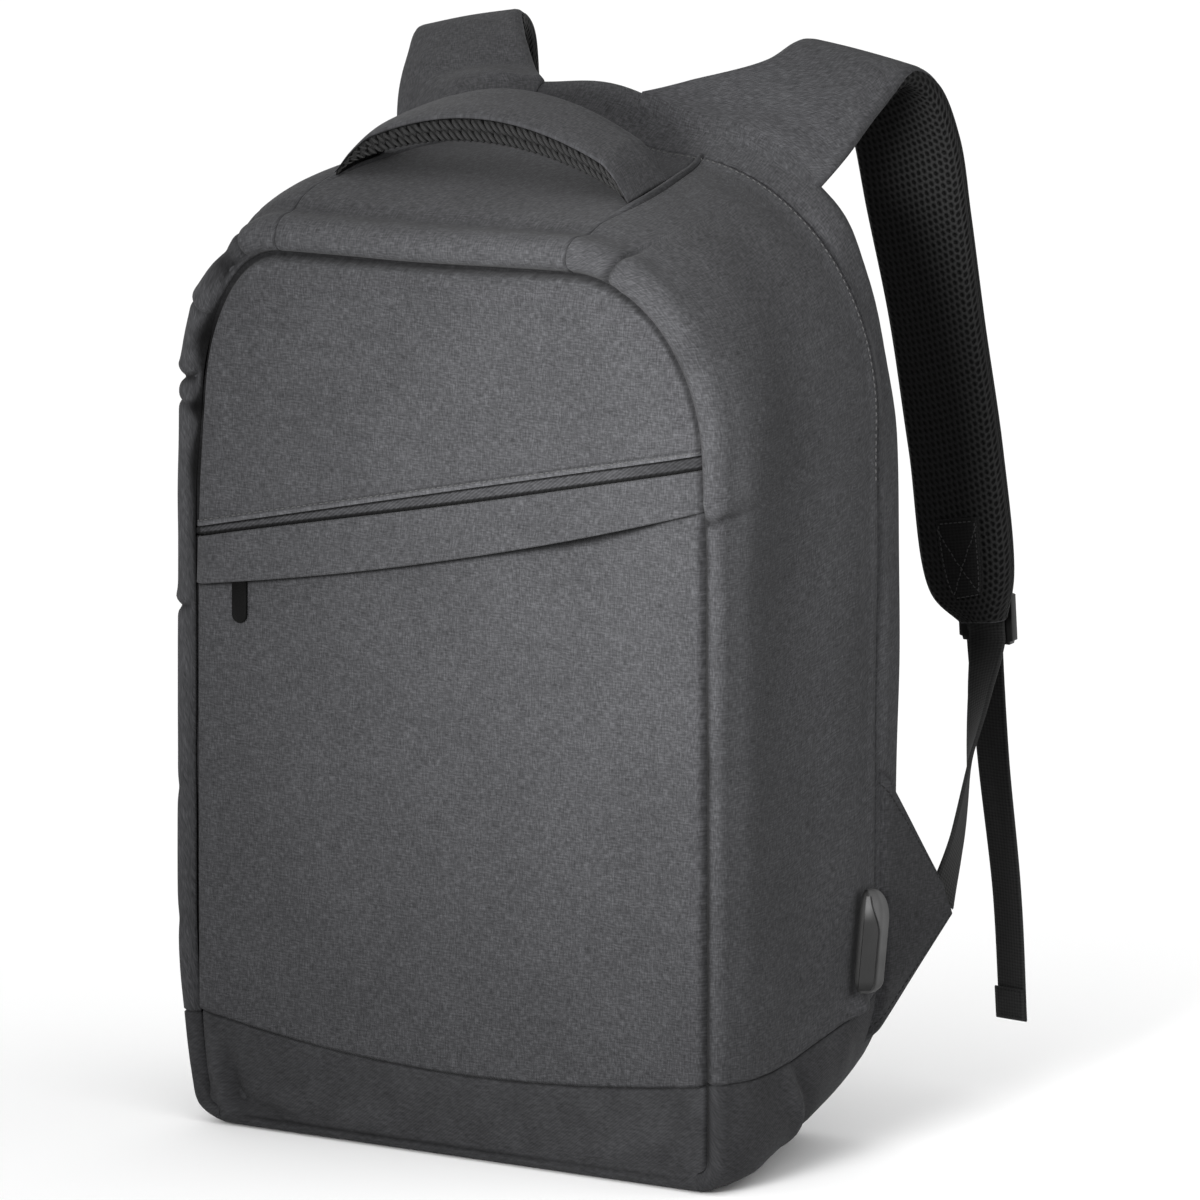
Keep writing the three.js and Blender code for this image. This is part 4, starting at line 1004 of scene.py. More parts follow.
def gusset(name, route, vs, folds):
    """Cloth of one gusset: puckers, soft waves, sunk seams and the stitched fold at its back edge.

    The folds are the heights of the felled seams at its start and its end; a side has none.
    """
    us = GUSSET_US
    grid = crushed(shell_grid(route, GUSSET, us, vs))
    across, along, depth = arc(grid, 0), arc(grid, 1), grid[..., 1] + HALF_DEPTH
    puckers = pucker_lift(grid, us)
    lift = puckers + roll_lift(grid, us, across) + side_turn(grid, us, across)
    # Painted shade at the roll's root, with a painted highlight on its crest and painted shade behind it on
    # top
    shade = roll_shade(grid, us / ROLL_SHARE, across)
    # Painted shade in the pinches of the puckers
    shade *= 1 - PUCKER_DARK * np.clip(-puckers, 0, PUCKER_DARK_LIMIT)
    behind = smoothstep(us, *SIDE_WAVES_FROM)[:, None]
    lift += waves(grid, SIDE_BROAD_WAVE) * behind + waves(grid, SIDE_SMALL_WAVE)
    from_back = across[-1:] - across
    lift += RIDGE_FOLD.height * fade(from_back, *RIDGE_FOLD.reach)
    lift -= RIDGE_FOLD.sink * fade(from_back, *RIDGE_FOLD.sink_reach)
    for distance, fold in zip((along, along[:, -1:] - along), folds):
        sewn = smoothstep(depth, *FELLED.depth) * (fold > 0)
        lift -= seam_sink(distance)
        lift += sewn * fold * plateau(distance, FELLED.rise, FELLED.fall)
        lift -= sewn * FELLED.sink * bell(distance, FELLED.sink_at, FELLED.sink_width)
        # Painted shade along the seam, and in the sunk line beside a felled fold
        shade *= seam_shade(distance)
        shade *= 1 - sewn * FELLED.dark * bell(distance, FELLED.dark_at, FELLED.dark_width)
    if not any(folds):
        lift += crease_lift(depth, grid[..., 2], SIDE_FOLDS) * smoothstep(depth, *SIDE_FOLDS_FROM)
        # Painted shadow along the front of the port
        shade *= port_shade(grid)
    wall(name + "_cloth", grid, lift, SIDE_WALL, "melange", [name], shade=shade)
    return grid, lift


side_right = gusset("side_right", RIGHT_SIDE, SIDE_VS, (0, 0))
side_left = gusset("side_left", LEFT_SIDE, 1 - SIDE_VS[::-1], (0, 0))
top_gusset = gusset("top_gusset", TOP_ROUTE, spread(120, ends=0.6), (1.6, 0.4))

RIDGE_STITCHES_INSET, RIDGE_STITCHES_FROM = 3.4, 300


def ridge_line(grid, lift):
    """Points and outward directions along the back edge of a gusset, above the lowest stitch."""
    row = row_at_distance(grid, RIDGE_STITCHES_INSET, 0, True)
    out = normals_of(grid)
    points = (grid + lift[..., None] * out)[row]
    high = points[:, 2] > RIDGE_STITCHES_FROM
    return points[high], out[row][high]


stitches("ridge_stitches", [ridge_line(*cloth) for cloth in (top_gusset, side_right, side_left)],
         "thread", length=2.2, gap=1.0, radius=0.32)

# Band behind the ridge, closed zip and padded back
BAND_US = joined(spread(14, 0, BAND_TURN), spread(16, BAND_TURN, 1.0))
ARCH_VS = np.linspace(0, 1, 331)
BAND_SWELLS = [
    # height up the right side, half length of the swell, how far it stands out
    (225, 75, 1.8),
    (354, 27, -2.2),
    (416, 16, 3.2),
]
BAND_SWELLS_X, BAND_SWELLS_FROM = (85, 130), (2, 10)
BAND_SINK = Numbers(front=1.2, front_reach=(0.4, 1.8), back=0.5, back_reach=(0, 1.5))


def back_band():
    grid = shell_grid(ARCH, BAND, BAND_US, ARCH_VS)
    across = arc(grid, 0)
    lift = waves(grid, BAND_WAVE) - BAND_SINK.front * fade(across, *BAND_SINK.front_reach)
    lift -= BAND_SINK.back * fade(across[-1:] - across, *BAND_SINK.back_reach)
    swells = smoothstep(grid[..., 0], *BAND_SWELLS_X) * smoothstep(across, *BAND_SWELLS_FROM)
    for height, reach, swell in BAND_SWELLS:
        lift += swell * bell(grid[..., 2], height, reach) * swells
    # Painted shade along the seam at the band's front
    shade = seam_shade(across)
    piece = wall("back_band_cloth", grid, lift, SIDE_WALL, "melange", ["back_band"], shade=shade)


back_band()

# The zip's tape reaches under the band and under the pad
ZIP_INSET = BACK_EDGE_RADIUS + CLEARANCE
ZIP_UNDER_BAND, ZIP_UNDER_PAD = 1.5, 3.5
ZIP_COIL = Numbers(height=0.9, half=(0.9, 1.6), pitch=2.4, wave=0.25)


def main_zip():
    us = np.linspace(0, 1, 19)
    across = (BACK_ZIP_WIDTH + ZIP_UNDER_BAND + ZIP_UNDER_PAD) * us[:, None] - ZIP_UNDER_BAND

    def tape(us, radius):
        inset = ZIP_INSET + across + 0 * radius[None, :]
        return inset, np.full(inset.shape, float(DEPTH))

    grid = shell_grid(ARCH, tape, us, ARCH_VS)
    teeth = 1 - ZIP_COIL.wave + ZIP_COIL.wave * np.cos(2 * np.pi * arc(grid, 1) / ZIP_COIL.pitch)
    coil = ZIP_COIL.height * fade(np.abs(across - BACK_ZIP_WIDTH / 2), *ZIP_COIL.half) * teeth
    wall("main_zip_tape", grid, coil, ZIP_WALL, "binding", ["main_zip"], rim=0.4)


main_zip()


def coons(us, vs, bottom, top, left, right):
    """A grid of points bounded by four curves, each given at us or vs."""
    u, v = us[:, None, None], vs[None, :, None]
    return ((1 - v) * bottom[:, None] + v * top[:, None] + (1 - u) * left[None] + u * right[None]
            - (1 - u) * (1 - v) * left[0] - u * (1 - v) * right[0]
            - (1 - u) * v * left[-1] - u * v * right[-1])


BACK_BULGE_POWER = 0.35


def back_panel():
    loop = LOOPS[DEPTH]
    m = loop.marks
    inset = ZIP_INSET + BACK_ZIP_WIDTH + 2 * PANEL_GAP
    us, vs = spread(90, ends=0.5), spread(120, ends=0.5)
    low_right, low_left = (m["bottom_right"] + m["base_right"]) / 2, (m["end"] + m["base_left"]) / 2
    middle = (m["bottom_left"] + m["bottom_right"]) / 2
    lower = np.where(us < 0.5, lerp(low_right, middle, 2 * us),
                     lerp(middle + m["end"], low_left, 2 * us - 1) % m["end"])
    edges = (lower, lerp(m["corner_right"], m["corner_left"], us), lerp(low_right, m["corner_right"], vs),
             lerp(low_left, m["corner_left"], vs))
    places = coons(us, vs, *(loop.at(lengths, inset) for lengths in edges))
    u, v = us[:, None], vs[None, :]
    bulge = (16 * u * (1 - u) * v * (1 - v)) ** BACK_BULGE_POWER
    x, z = places[..., 0], places[..., 1]
    face = at_depth(x, DEPTH + BACK_CROWN * bulge, z)
    face[..., 1] += waves(face, BACK_WAVE) * bulge
    inside = at_depth(x, DEPTH - BACK_WALL + BACK_CROWN, z)
    slab("back_pad", face, inside, "mesh_back", ["back_panel"], rim=1.5, uv=places)


back_panel()

# Front panels, inside the edge roll
FRONT = Loop(float(PANEL_DEPTH))
DISTANCE_BATCH = 4000


def panel_edge(lengths):
    """Border of the front cloth, which reaches a little under the roll."""
    place, out = FRONT.point_and_normal(np.asarray(lengths, float))
    inset = roll_radius(place[..., 1]) * (1 - math.sin(ROLL_START)) + PANEL_GAP - PANEL_UNDER
    return place - inset[..., None] * out


FRONT_EDGE = panel_edge(np.linspace(0, FRONT.lengths[-1], 900))


def edge_distance(x, z):
    """Distance of places from the border of the front cloth, a batch of them at a time."""
    places = np.stack([x.ravel(), z.ravel()], -1)
    out = np.empty(len(places))
    for i in range(0, len(places), DISTANCE_BATCH):
        steps = places[i:i + DISTANCE_BATCH, None] - FRONT_EDGE
        out[i:i + DISTANCE_BATCH] = np.sqrt((steps**2).sum(-1).min(1))
    return out.reshape(x.shape)


def panel_depth(x, z):
    """Depth of the front cloth, and the distance of places from the edge of it that shows."""
    distance = np.maximum(edge_distance(x, z) - PANEL_UNDER, 0)
    across = np.maximum(0, 1 - (x / PANEL_HALF) ** 2)
    up = np.sin(np.pi * np.minimum(1, z / SHOULDER_HEIGHT))
    return PANEL_DIP * fade(distance, 0, PANEL_DIP_REACH) - PANEL_CROWN * across * up, distance


def pocket_line(drop):
    return lambda x: POCKET_LEFT_HEIGHT + POCKET_RISE * (x / POCKET_SPAN + 0.5) - drop


def front_seam(x):
    return FRONT_SEAM_HEIGHT + FRONT_SEAM_SMILE * (x / PANEL_HALF) ** 2 + FRONT_SEAM_LEAN * x / PANEL_HALF


def line_end(line, low, high):
    """The length along the front outline between two lengths where the panel's edge rises past a line."""
    for _ in range(50):
        middle = (low + high) / 2
        x, z = panel_edge(middle)
        if z < line(x):
            low = middle
        else:
            high = middle
    return (low + high) / 2


FRONT_US = joined(np.linspace(0, 0.03, 11), spread(130, 0.03, 0.97, 0.5), np.linspace(0.97, 1, 11))


def front_field(vs, low_line, high_line=None):
    """Places on the front from one line up to another or to its top edge, with their depth and distance."""
    m, us = FRONT.marks, FRONT_US

    def ends(line):
        sides = (("end", "corner_left"), ("bottom_right", "corner_right"))
        return [line_end(line, m[low], m[high]) for low, high in sides]

    def along(line, ends):
        x = lerp(panel_edge(ends[0])[0], panel_edge(ends[1])[0], us)
        return np.stack([x, line(x)], -1)

    low = ends(low_line)
    high = ends(high_line) if high_line else [m["corner_left"], m["corner_right"]]
    top = along(high_line, high) if high_line else panel_edge(lerp(*high, us))
    left, right = (panel_edge(lerp(low[k], high[k], vs)) for k in (0, 1))
    grid = coons(us, vs, along(low_line, low), top, left, right)
    x, z = grid[..., 0], grid[..., 1]
    return (x, z, *panel_depth(x, z))


def front_piece(name, node, x, z, face, thickness, material, shade, rim=0.6):
    """A piece of the front whose face lies at given depths, and the points of that face."""
    outer, inner = at_depth(x, face, z), at_depth(x, face + thickness, z)
    return slab(name, outer, inner, material, [node], rim, np.stack([x, z], -1), shade), outer


# Painted shade along the edge of the front cloth, where it sinks under the roll
def panel_shade(x, z, distance):
    return line_shade(distance, edge_dark(x, z), *PANEL_DARK_REACH)


def groove(distance, depth, reach):
    return depth * fade(distance, 0, reach)


# The panel's edge inside the roll is puffy, then sunk. High on the right it lies flat with a shallow groove.
EDGE_GROOVE = Numbers(depth=4.6, reach=2.6, flat_depth=2.0, flat_reach=1.8, puff=1.6, puff_rise=(1.0, 3.4),
                      puff_fall=(5, 18), uneven=0.38, bumps=30, seed=14, uneven_x=(-110, -60))


def edge_groove(x, z, distance):
    flat_part = high_right(x, z)
    bumps = noise(np.stack([0 * x, 0 * x, z], -1), EDGE_GROOVE.bumps, EDGE_GROOVE.seed)
    uneven = 1 - EDGE_GROOVE.uneven * (1 - bumps) * fade(x, *EDGE_GROOVE.uneven_x)
    puff = EDGE_GROOVE.puff * plateau(distance, EDGE_GROOVE.puff_rise, EDGE_GROOVE.puff_fall)
    deep = lerp(EDGE_GROOVE.depth, EDGE_GROOVE.flat_depth, flat_part) * uneven
    reach = lerp(EDGE_GROOVE.reach, EDGE_GROOVE.flat_reach, flat_part)
    return groove(distance, deep, reach) - puff * (1 - flat_part)


WAVES_FROM_EDGE = (2, 24)


def front_waves(x, z, distance, rows):
    """Soft waves of the front cloth, calm at its edge."""
    return waves(np.stack([x, 0 * x, z], -1), *rows) * smoothstep(distance, *WAVES_FROM_EDGE)


# The panel's edge stands back where the roll gapes: middle of the gape and its reach along and across
GAPE = Numbers(x=-137, z=352, along=26, across=5, depth=3.0)
POCKET_FOLD = Numbers(height=1.1, reach=(2.4, 3.8), ends=(0, 3), pale=0.42, pale_reach=(1.6, 2.2),
                      dark=0.3, dark_at=2.8, dark_width=0.5)
UPPER_VS = joined(np.linspace(0, 0.04, 14), spread(80, 0.04, 1, 0.5))


def upper_panel():
    """Cloth above the pocket, with its lower edge folded and stitched, a painted highlight along the fold and
    painted shade just above it.
    """
    x, z, depth, distance = front_field(UPPER_VS, pocket_line(0))
    above = z - pocket_line(0)(x)
    face = depth + edge_groove(x, z, distance) + front_waves(x, z, distance, UPPER_WAVES)
    face += GAPE.depth * bell(x, GAPE.x, GAPE.across) * bell(z, GAPE.z, GAPE.along)
    face -= POCKET_FOLD.height * fade(above, *POCKET_FOLD.reach) * smoothstep(distance, *POCKET_FOLD.ends)
    # Painted shade along the panel's edge, a painted highlight along the fold and painted shade just above it
    shade = panel_shade(x, z, distance) * (1 + POCKET_FOLD.pale * fade(above, *POCKET_FOLD.pale_reach))
    shade *= 1 - POCKET_FOLD.dark * bell(above, POCKET_FOLD.dark_at, POCKET_FOLD.dark_width)
    piece, outer = front_piece("upper_cloth", "front_panel_upper", x, z, face, PANEL_WALL, "melange", shade)
    return outer


upper = upper_panel()

# Lines of the pocket, as drops below the upper panel's edge
TAPE_BOTTOM = POCKET_TAPE + CLEARANCE
FLAP_TOP = TAPE_BOTTOM + CLEARANCE
FLAP_BOTTOM = FLAP_TOP + POCKET_FLAP
TAPE_UNDER, TAPE_SINK = 2.0, 1.0
# Depth and reach of the grooves at the tape's ends and along the flap and the upper panel
TAPE_GROOVES = Numbers(end=(1.2, 3.0), flap=(3.0, 1.8), panel=(1.6, 1.0))
# Painted shade along the tape's top and bottom, where the upper panel and the flap overhang it, and darker
# towards its right end
TAPE_DARK = Numbers(top=0.75, top_reach=(0.5, 1.2), low=0.88, low_reach=(0.9, 1.7), end=0.4,
                    end_x=(78, 122))
FLAP_COVER, FLAP_COVER_X = 2.0, (-130, 40)


def flap_edge(x):
    return pocket_line(FLAP_BOTTOM)(x) - FLAP_SAG * (1 - (x / PANEL_HALF) ** 2)


def flap_top_edge(x):
    """Upper edge of the flap, which covers more of the tape towards the left."""
    return pocket_line(FLAP_TOP)(x) + FLAP_COVER * fade(x, *FLAP_COVER_X)


def pocket_tape():
    """Twill tape, sunk between the upper panel and the flap, with painted shade along its edges."""
    x, z, depth, distance = front_field(np.linspace(0, 1, 29), pocket_line(TAPE_BOTTOM + TAPE_UNDER),
                                        pocket_line(-TAPE_UNDER))
    above_flap, below_panel = z - flap_top_edge(x), pocket_line(0)(x) - z
    face = depth + TAPE_SINK + groove(distance, *TAPE_GROOVES.end)
    face += groove(above_flap, *TAPE_GROOVES.flap) + groove(below_panel, *TAPE_GROOVES.panel)
    shade = panel_shade(x, z, distance) * (1 - TAPE_DARK.end * smoothstep(x, *TAPE_DARK.end_x))
    shade *= line_shade(below_panel, TAPE_DARK.top, *TAPE_DARK.top_reach)
    shade *= line_shade(above_flap, TAPE_DARK.low, *TAPE_DARK.low_reach)
    front_piece("pocket_tape_cloth", "pocket_tape", x, z, face, PANEL_WALL, "tape", shade, rim=0.3)


pocket_tape()

LOWER_VS = joined(spread(100, 0, 0.86, 0.5), np.linspace(0.86, 0.98, 40), np.linspace(0.98, 1, 5))
# The flap gapes most at one place. There the painted shadow under it is widest, and it is tucked in at its
# right end.
FLAP_GAPE_X, FLAP_TUCK = 74, 0.6
FLAP_SHADOW = Numbers(reach=1.9, gape_reach=4.6, gape_width=34, end_x=(100, 125), dark=0.85, fades=(0.2, 1.2))
FLAP_LOOSE = Numbers(lift=1.4, gape_lift=2.4, gape_width=32, end_x=(96, 128), power=1.6)
FLAP_ENDS, FLAP_END_SHARE = (0, 11), 0.2
# The seam between the lower panel and the base is sunk, with painted shade on both sides of it
FRONT_SEAM_SINK = Numbers(above=2.4, above_reach=(-SEAM_OVERLAP, 0.9), above_dark=(0.2, 1.2), below=2.2,
                          below_reach=(-SEAM_OVERLAP, 1.0), below_dark=(0.0, 1.2))


def lower_panel():
    x, z, depth, distance = front_field(LOWER_VS, lambda x: front_seam(x) - SEAM_OVERLAP,
                                        pocket_line(FLAP_TOP + CLEARANCE))
    above_seam = z - front_seam(x)
    face = depth + edge_groove(x, z, distance) + front_waves(x, z, distance, LOWER_WAVES)
    face += FRONT_SEAM_SINK.above * fade(above_seam, *FRONT_SEAM_SINK.above_reach)
    # Painted shadow under the flap, widest where it gapes, with painted shade along the panel's edge and the
    # seam
    reach = lerp(FLAP_SHADOW.reach, FLAP_SHADOW.gape_reach, bell(x, FLAP_GAPE_X, FLAP_SHADOW.gape_width))
    reach *= 1 - FLAP_TUCK * smoothstep(x, *FLAP_SHADOW.end_x)
    shade = panel_shade(x, z, distance)
    shade *= line_shade((flap_edge(x) - z) / reach, FLAP_SHADOW.dark, *FLAP_SHADOW.fades)
    shade *= line_shade(above_seam, SEAM_DARK, *FRONT_SEAM_SINK.above_dark)
    piece, _ = front_piece("lower_cloth", "front_panel_lower", x, z, face, PANEL_WALL, "melange", shade)


lower_panel()


def pocket_flap():
    """Welt over the pocket's zip: it gapes along its lower edge and is tucked in at both ends."""
    x, z, depth, distance = front_field(spread(16, ends=0.5), flap_edge, flap_top_edge)
    free = np.clip((flap_top_edge(x) - z) / (POCKET_FLAP + FLAP_SAG), 0, 1)
    tucked = smoothstep(x, *FLAP_LOOSE.end_x)
    gaping = FLAP_LOOSE.lift + FLAP_LOOSE.gape_lift * bell(x, FLAP_GAPE_X, FLAP_LOOSE.gape_width)
    lift = FLAP_WALL + CLEARANCE + FLAP_LIFT * free * (1 - FLAP_TUCK * tucked)
    lift += free ** FLAP_LOOSE.power * (1 - tucked) * gaping
    lift += waves(np.stack([x, 0 * x, z], -1), FLAP_WAVE) * free
    lift *= lerp(FLAP_END_SHARE, 1, smoothstep(distance, *FLAP_ENDS))
    face = depth - lift + edge_groove(x, z, distance) + front_waves(x, z, distance, LOWER_WAVES)
    piece, _ = front_piece("flap_cloth", "pocket_flap", x, z, face, FLAP_WALL, "melange",
                           panel_shade(x, z, distance), rim=0.7)


pocket_flap()

POCKET_STITCHES_RISE, POCKET_STITCHES_END = 2.3, 4


def pocket_stitches():
    """Stitches along the folded edge of the upper panel, on its own points."""
    middle = upper[upper.shape[0] // 2]
    column = nearest(middle[:, 2] - middle[0, 2], POCKET_STITCHES_RISE)
    points = upper[POCKET_STITCHES_END:-POCKET_STITCHES_END, column]
    outs = np.tile([0.0, -1.0, 0.0], (len(points), 1))
    stitches("pocket_stitches", [(points, outs)], "thread", length=2.2, gap=0.9, radius=0.26)


pocket_stitches()

# Puller that hangs out below the welt
PULLER = Numbers(x=-111, width=8, hidden=3, shown=19, off_panel=0.35)
# Rings of the puller from its back to the dish in its front: how far each is drawn in, and its height
PULLER_RINGS = ((0.35, 0), (0, 0.3), (0, 0.8), (0.25, 1.15), (0.7, 1.25), (1.1, 1.1), (1.5, 0.85), (2.2, 0.8))


def puller():
    x0, half = PULLER.x, PULLER.width / 2
    edge = flap_edge(x0)
    depth, _ = panel_depth(np.array([x0]), np.array([edge]))
    back = float(depth[0]) - PULLER.off_panel
    top, low = edge + PULLER.hidden, edge - PULLER.shown + half
    angles = np.linspace(math.pi, 2 * math.pi, 25)
    x = np.concatenate([[-half], half * np.cos(angles), [half]])
    z = np.concatenate([[top], low + half * np.sin(angles), [top]])

    def ring(drawn_in, front):
        share = 1 - drawn_in / half
        return at_depth(x0 + x * share, back - front, np.where(z < low, low + (z - low) * share, z))

    rings = np.array([ring(*row) for row in PULLER_RINGS])
    tube("puller_tab", rings[:, ::-1], "puller", ["zip_puller"])


puller()

# Twill base. Its front goes down, turns round the lower edge and reaches under.
BASE_FRONT_SHARE = (0.55, 0.33, 0.12)
BASE_EDGE_RADIUS = 4.0
# The bottom fold is sunk and carries painted shade, less of it on the right
BOTTOM_FOLD = Numbers(depth=1.0, height=4.5, width=1.0, ends=(4, 24), dark=0.5, dark_right=0.2,
                      right_x=(0, 90))
BASE_CORNER = Numbers(sink_left=2.0, sink_right=3.6, right_x=(-60, 60), reach=(0, 2.2))
# Heights at which the base's waves and the painted shade lines of its corners start
BASE_WAVES_FROM, BASE_CORNER_FROM = (0, 9), (9, 17)


def base_front():
    down_share, turn_share, under_share = BASE_FRONT_SHARE
    turn_end = down_share + turn_share
    us = joined(np.linspace(0, 0.02, 9), spread(150, 0.02, 0.98, 0.5), np.linspace(0.98, 1, 9))
    vs = joined(np.linspace(0, down_share, 70), np.linspace(down_share, turn_end, 16),
                np.linspace(turn_end, 1, 5))
    u, v = np.meshgrid(us, vs, indexing="ij")
    down = np.minimum(v / down_share, 1)
    turn = np.clip((v - down_share) / turn_share, 0, 1) * QUARTER
    under = np.maximum((v - down_share - turn_share) / under_share, 0)
    front = dict(zip(OUTLINE_COLUMNS, OUTLINE[0]))
    half, corner = front["half_low"], front["corner_low"]
    beside = ROLL_RADIUS_LOW * (1 - math.sin(ROLL_START))
    bend = corner - beside
    across = 2 * u - 1
    top = front_seam(across * (half - beside)) + SEAM_OVERLAP
    z = np.where(turn > 0, BASE_EDGE_RADIUS * (1 - np.sin(turn)), lerp(top, BASE_EDGE_RADIUS, down))
    round_in = corner - np.sqrt(np.maximum(bend**2 - np.clip(corner - z, 0, bend) ** 2, 0))
    side = half - round_in - np.where(across < 0, crush(0, z), 0)
    x = across * side
    first, _ = panel_depth(x, top)
    turned = BASE_EDGE_RADIUS * (1 - np.cos(turn)) + under * (FRONT_EDGE_UNDER - BASE_EDGE_RADIUS)
    depth = np.where(turn > 0, turned, first * (1 - down))
    grid = at_depth(x, depth, z)[:, ::-1]
    x, z = grid[..., 0], grid[..., 2]
    from_side, below_seam = side[:, ::-1] - np.abs(x), front_seam(x) - z
    creases = crease_lift(x, z, FRONT_CREASES)
    fold = bell(z, BOTTOM_FOLD.height, BOTTOM_FOLD.width) * smoothstep(from_side, *BOTTOM_FOLD.ends)
    in_corner = smoothstep(z, *BASE_CORNER_FROM)
    sink = lerp(BASE_CORNER.sink_left, BASE_CORNER.sink_right, smoothstep(x, *BASE_CORNER.right_x))
    lift = waves(grid, *BASE_FRONT_WAVES) + creases
    lift -= sink * fade(from_side, *BASE_CORNER.reach) * in_corner
    lift -= FRONT_SEAM_SINK.below * fade(below_seam, *FRONT_SEAM_SINK.below_reach)
    lift = lift * smoothstep(z, *BASE_WAVES_FROM) - BOTTOM_FOLD.depth * fold
    # Painted shade in the corner seams, in the bottom fold and along the front seam, with painted light and
    # shade on creases
    dark = lerp(BOTTOM_FOLD.dark, BOTTOM_FOLD.dark_right, smoothstep(x, *BOTTOM_FOLD.right_x))
    shade = line_shade(from_side, edge_dark(x, z) * in_corner, *BASE_DARK_REACH) * (1 - dark * fold)
    shade *= line_shade(below_seam, SEAM_DARK, *FRONT_SEAM_SINK.below_dark) * crease_shade(creases)
    uv = np.stack([x, arc(grid, 1)], -1)
    piece = wall("base_front_cloth", grid, lift, BASE_WALL, "twill", ["base_front"], uv=uv, shade=shade)


base_front()

BASE_US = joined(np.linspace(0, BASE_ROLL_SHARE, 24), spread(60, BASE_ROLL_SHARE, BASE_TURN, 0.2),
                 np.linspace(BASE_TURN, BASE_HEM, 14), np.linspace(BASE_HEM, 1, 6))
BOTTOM_US = joined(np.linspace(0, BOTTOM_TURN, 24), np.linspace(BOTTOM_TURN, BOTTOM_HEM, 12),
                   np.linspace(BOTTOM_HEM, 1, 5))


def base_side(name, route, right):
    grid = shell_grid(route, BASE_SIDE, BASE_US, spread(70, ends=0.4))
    depth, z = grid[..., 1] + HALF_DEPTH, grid[..., 2]
    across, along = arc(grid, 0), arc(grid, 1)
    to_seam = along[:, -1:] - along if right else along
    us = BASE_US * ROLL_SHARE / BASE_ROLL_SHARE
    creases = crease_lift(depth, z, BASE_SIDE_CREASES)
    lift = waves(grid, *BASE_SIDE_WAVES) + creases - seam_sink(to_seam)
    lift += roll_lift(grid, us, across) + side_turn(grid, us, across)
    lift *= smoothstep(z, *BASE_WAVES_FROM)
    # Painted shade of the roll, fading out low down, with painted shade along the seam and painted light and
    # shade on creases
    shade = lerp(1, roll_shade(grid, us / ROLL_SHARE, across), smoothstep(z, *BASE_CORNER_FROM))
    shade *= seam_shade(to_seam) * crease_shade(creases)
    wall(name + "_cloth", crushed(grid), lift, BASE_WALL, "twill", [name], shade=shade)


base_side("base_side_right", BASE_RIGHT, True)
base_side("base_side_left", BASE_LEFT, False)
bottom = shell_grid(BOTTOM_ROUTE, BOTTOM, BOTTOM_US, np.linspace(0, 1, 60))
wall("base_bottom_cloth", bottom, np.zeros(bottom.shape[:2]), BASE_WALL, "twill", ["base_bottom"])

# Grab handle: its mesh wraps up the front edge, and its ends thin down where they are sewn in
HANDLE = Numbers(left=-90, right=69, right_back=64, front=42, back=80, rise=23, padding=5.5, lining=3.6,
                 edge=2.5, wrap=3.4, sink=1.6, droop=2.8, left_reach=0.13, right_reach=0.1, end_share=0.24,
                 lining_margin=0.9, lining_gap=0.2, droop_power=1.2, arch_power=0.75, sink_reach=(0, 0.05),
                 wrap_reach=(0.02, 0.2), droop_reach=(0.02, 0.3), front_rounding=0.4, puff=0.9, pillow=0.5)
HANDLE_TALL = HANDLE.lining + HANDLE.wrap
BRAID = Numbers(span=(0.012, 0.988), pitch=3.5, radius=0.82, reach=5.0, rows=(0.24, 0.72), half=0.27)


def handle_share(us):
    left, right = smoothstep(us, 0, HANDLE.left_reach), smoothstep(1 - us, 0, HANDLE.right_reach)
    return lerp(HANDLE.end_share, 1, np.minimum(left, right))


def handle_droop(us):
    """How far the mesh rolls down below the handle's front edge."""
    return HANDLE.droop * np.sin(np.pi * np.clip(us, 0, 1)) ** HANDLE.droop_power


def handle_frame(us, vs, margin):
    """Places of the handle's underside."""
    x = lerp(HANDLE.left, lerp(HANDLE.right, HANDLE.right_back, vs)[None, :], us[:, None])
    depth = lerp(HANDLE.front + margin, HANDLE.back - margin, vs)
    floor = np.stack([top_height(x[:, j], depth[j]) for j in range(len(vs))], 1)
    rise = HANDLE.rise * np.sin(np.pi * us) ** HANDLE.arch_power
    rise -= HANDLE.sink * fade(np.minimum(us, 1 - us), *HANDLE.sink_reach)
    return at_depth(x, depth, floor + CLEARANCE + rise[:, None])


def raised(places, height):
    """A copy of places, moved up."""
    moved = places.copy()
    moved[..., 2] += height
    return moved


def handle():
    us, vs = spread(130, ends=0.5), spread(32, ends=0.75)
    share = handle_share(us)[:, None]
    edge = (2 * vs - 1)[None, :] ** 4
    wrap = HANDLE.lining + HANDLE.wrap * fade(vs, *HANDLE.wrap_reach)[None, :]
    base = handle_frame(us, vs, 0)
    rounded = edge * np.where(vs < 0.5, HANDLE.front_rounding, 1.0)
    puff = HANDLE.puff * np.sin(np.pi * us)[:, None] ** 0.5 * (1 - rounded) + waves(base, HANDLE_WAVE)
    tall = HANDLE.lining + HANDLE.padding - HANDLE.edge * rounded + puff
    layers = [raised(base, CLEARANCE + height * share) for height in (tall, wrap)]
    slab("handle_cloth", *layers, "melange", ["handle_top"], rim=1.2)
    base = handle_frame(us, vs, HANDLE.lining_margin)
    under = HANDLE.pillow * (1 - edge) + handle_droop(us)[:, None] * fade(vs, *HANDLE.droop_reach)[None, :]
    slab("handle_lining", raised(base, (wrap - HANDLE.lining_gap) * share), raised(base, -under), "mesh",
         ["handle_mesh"], rim=0.8)


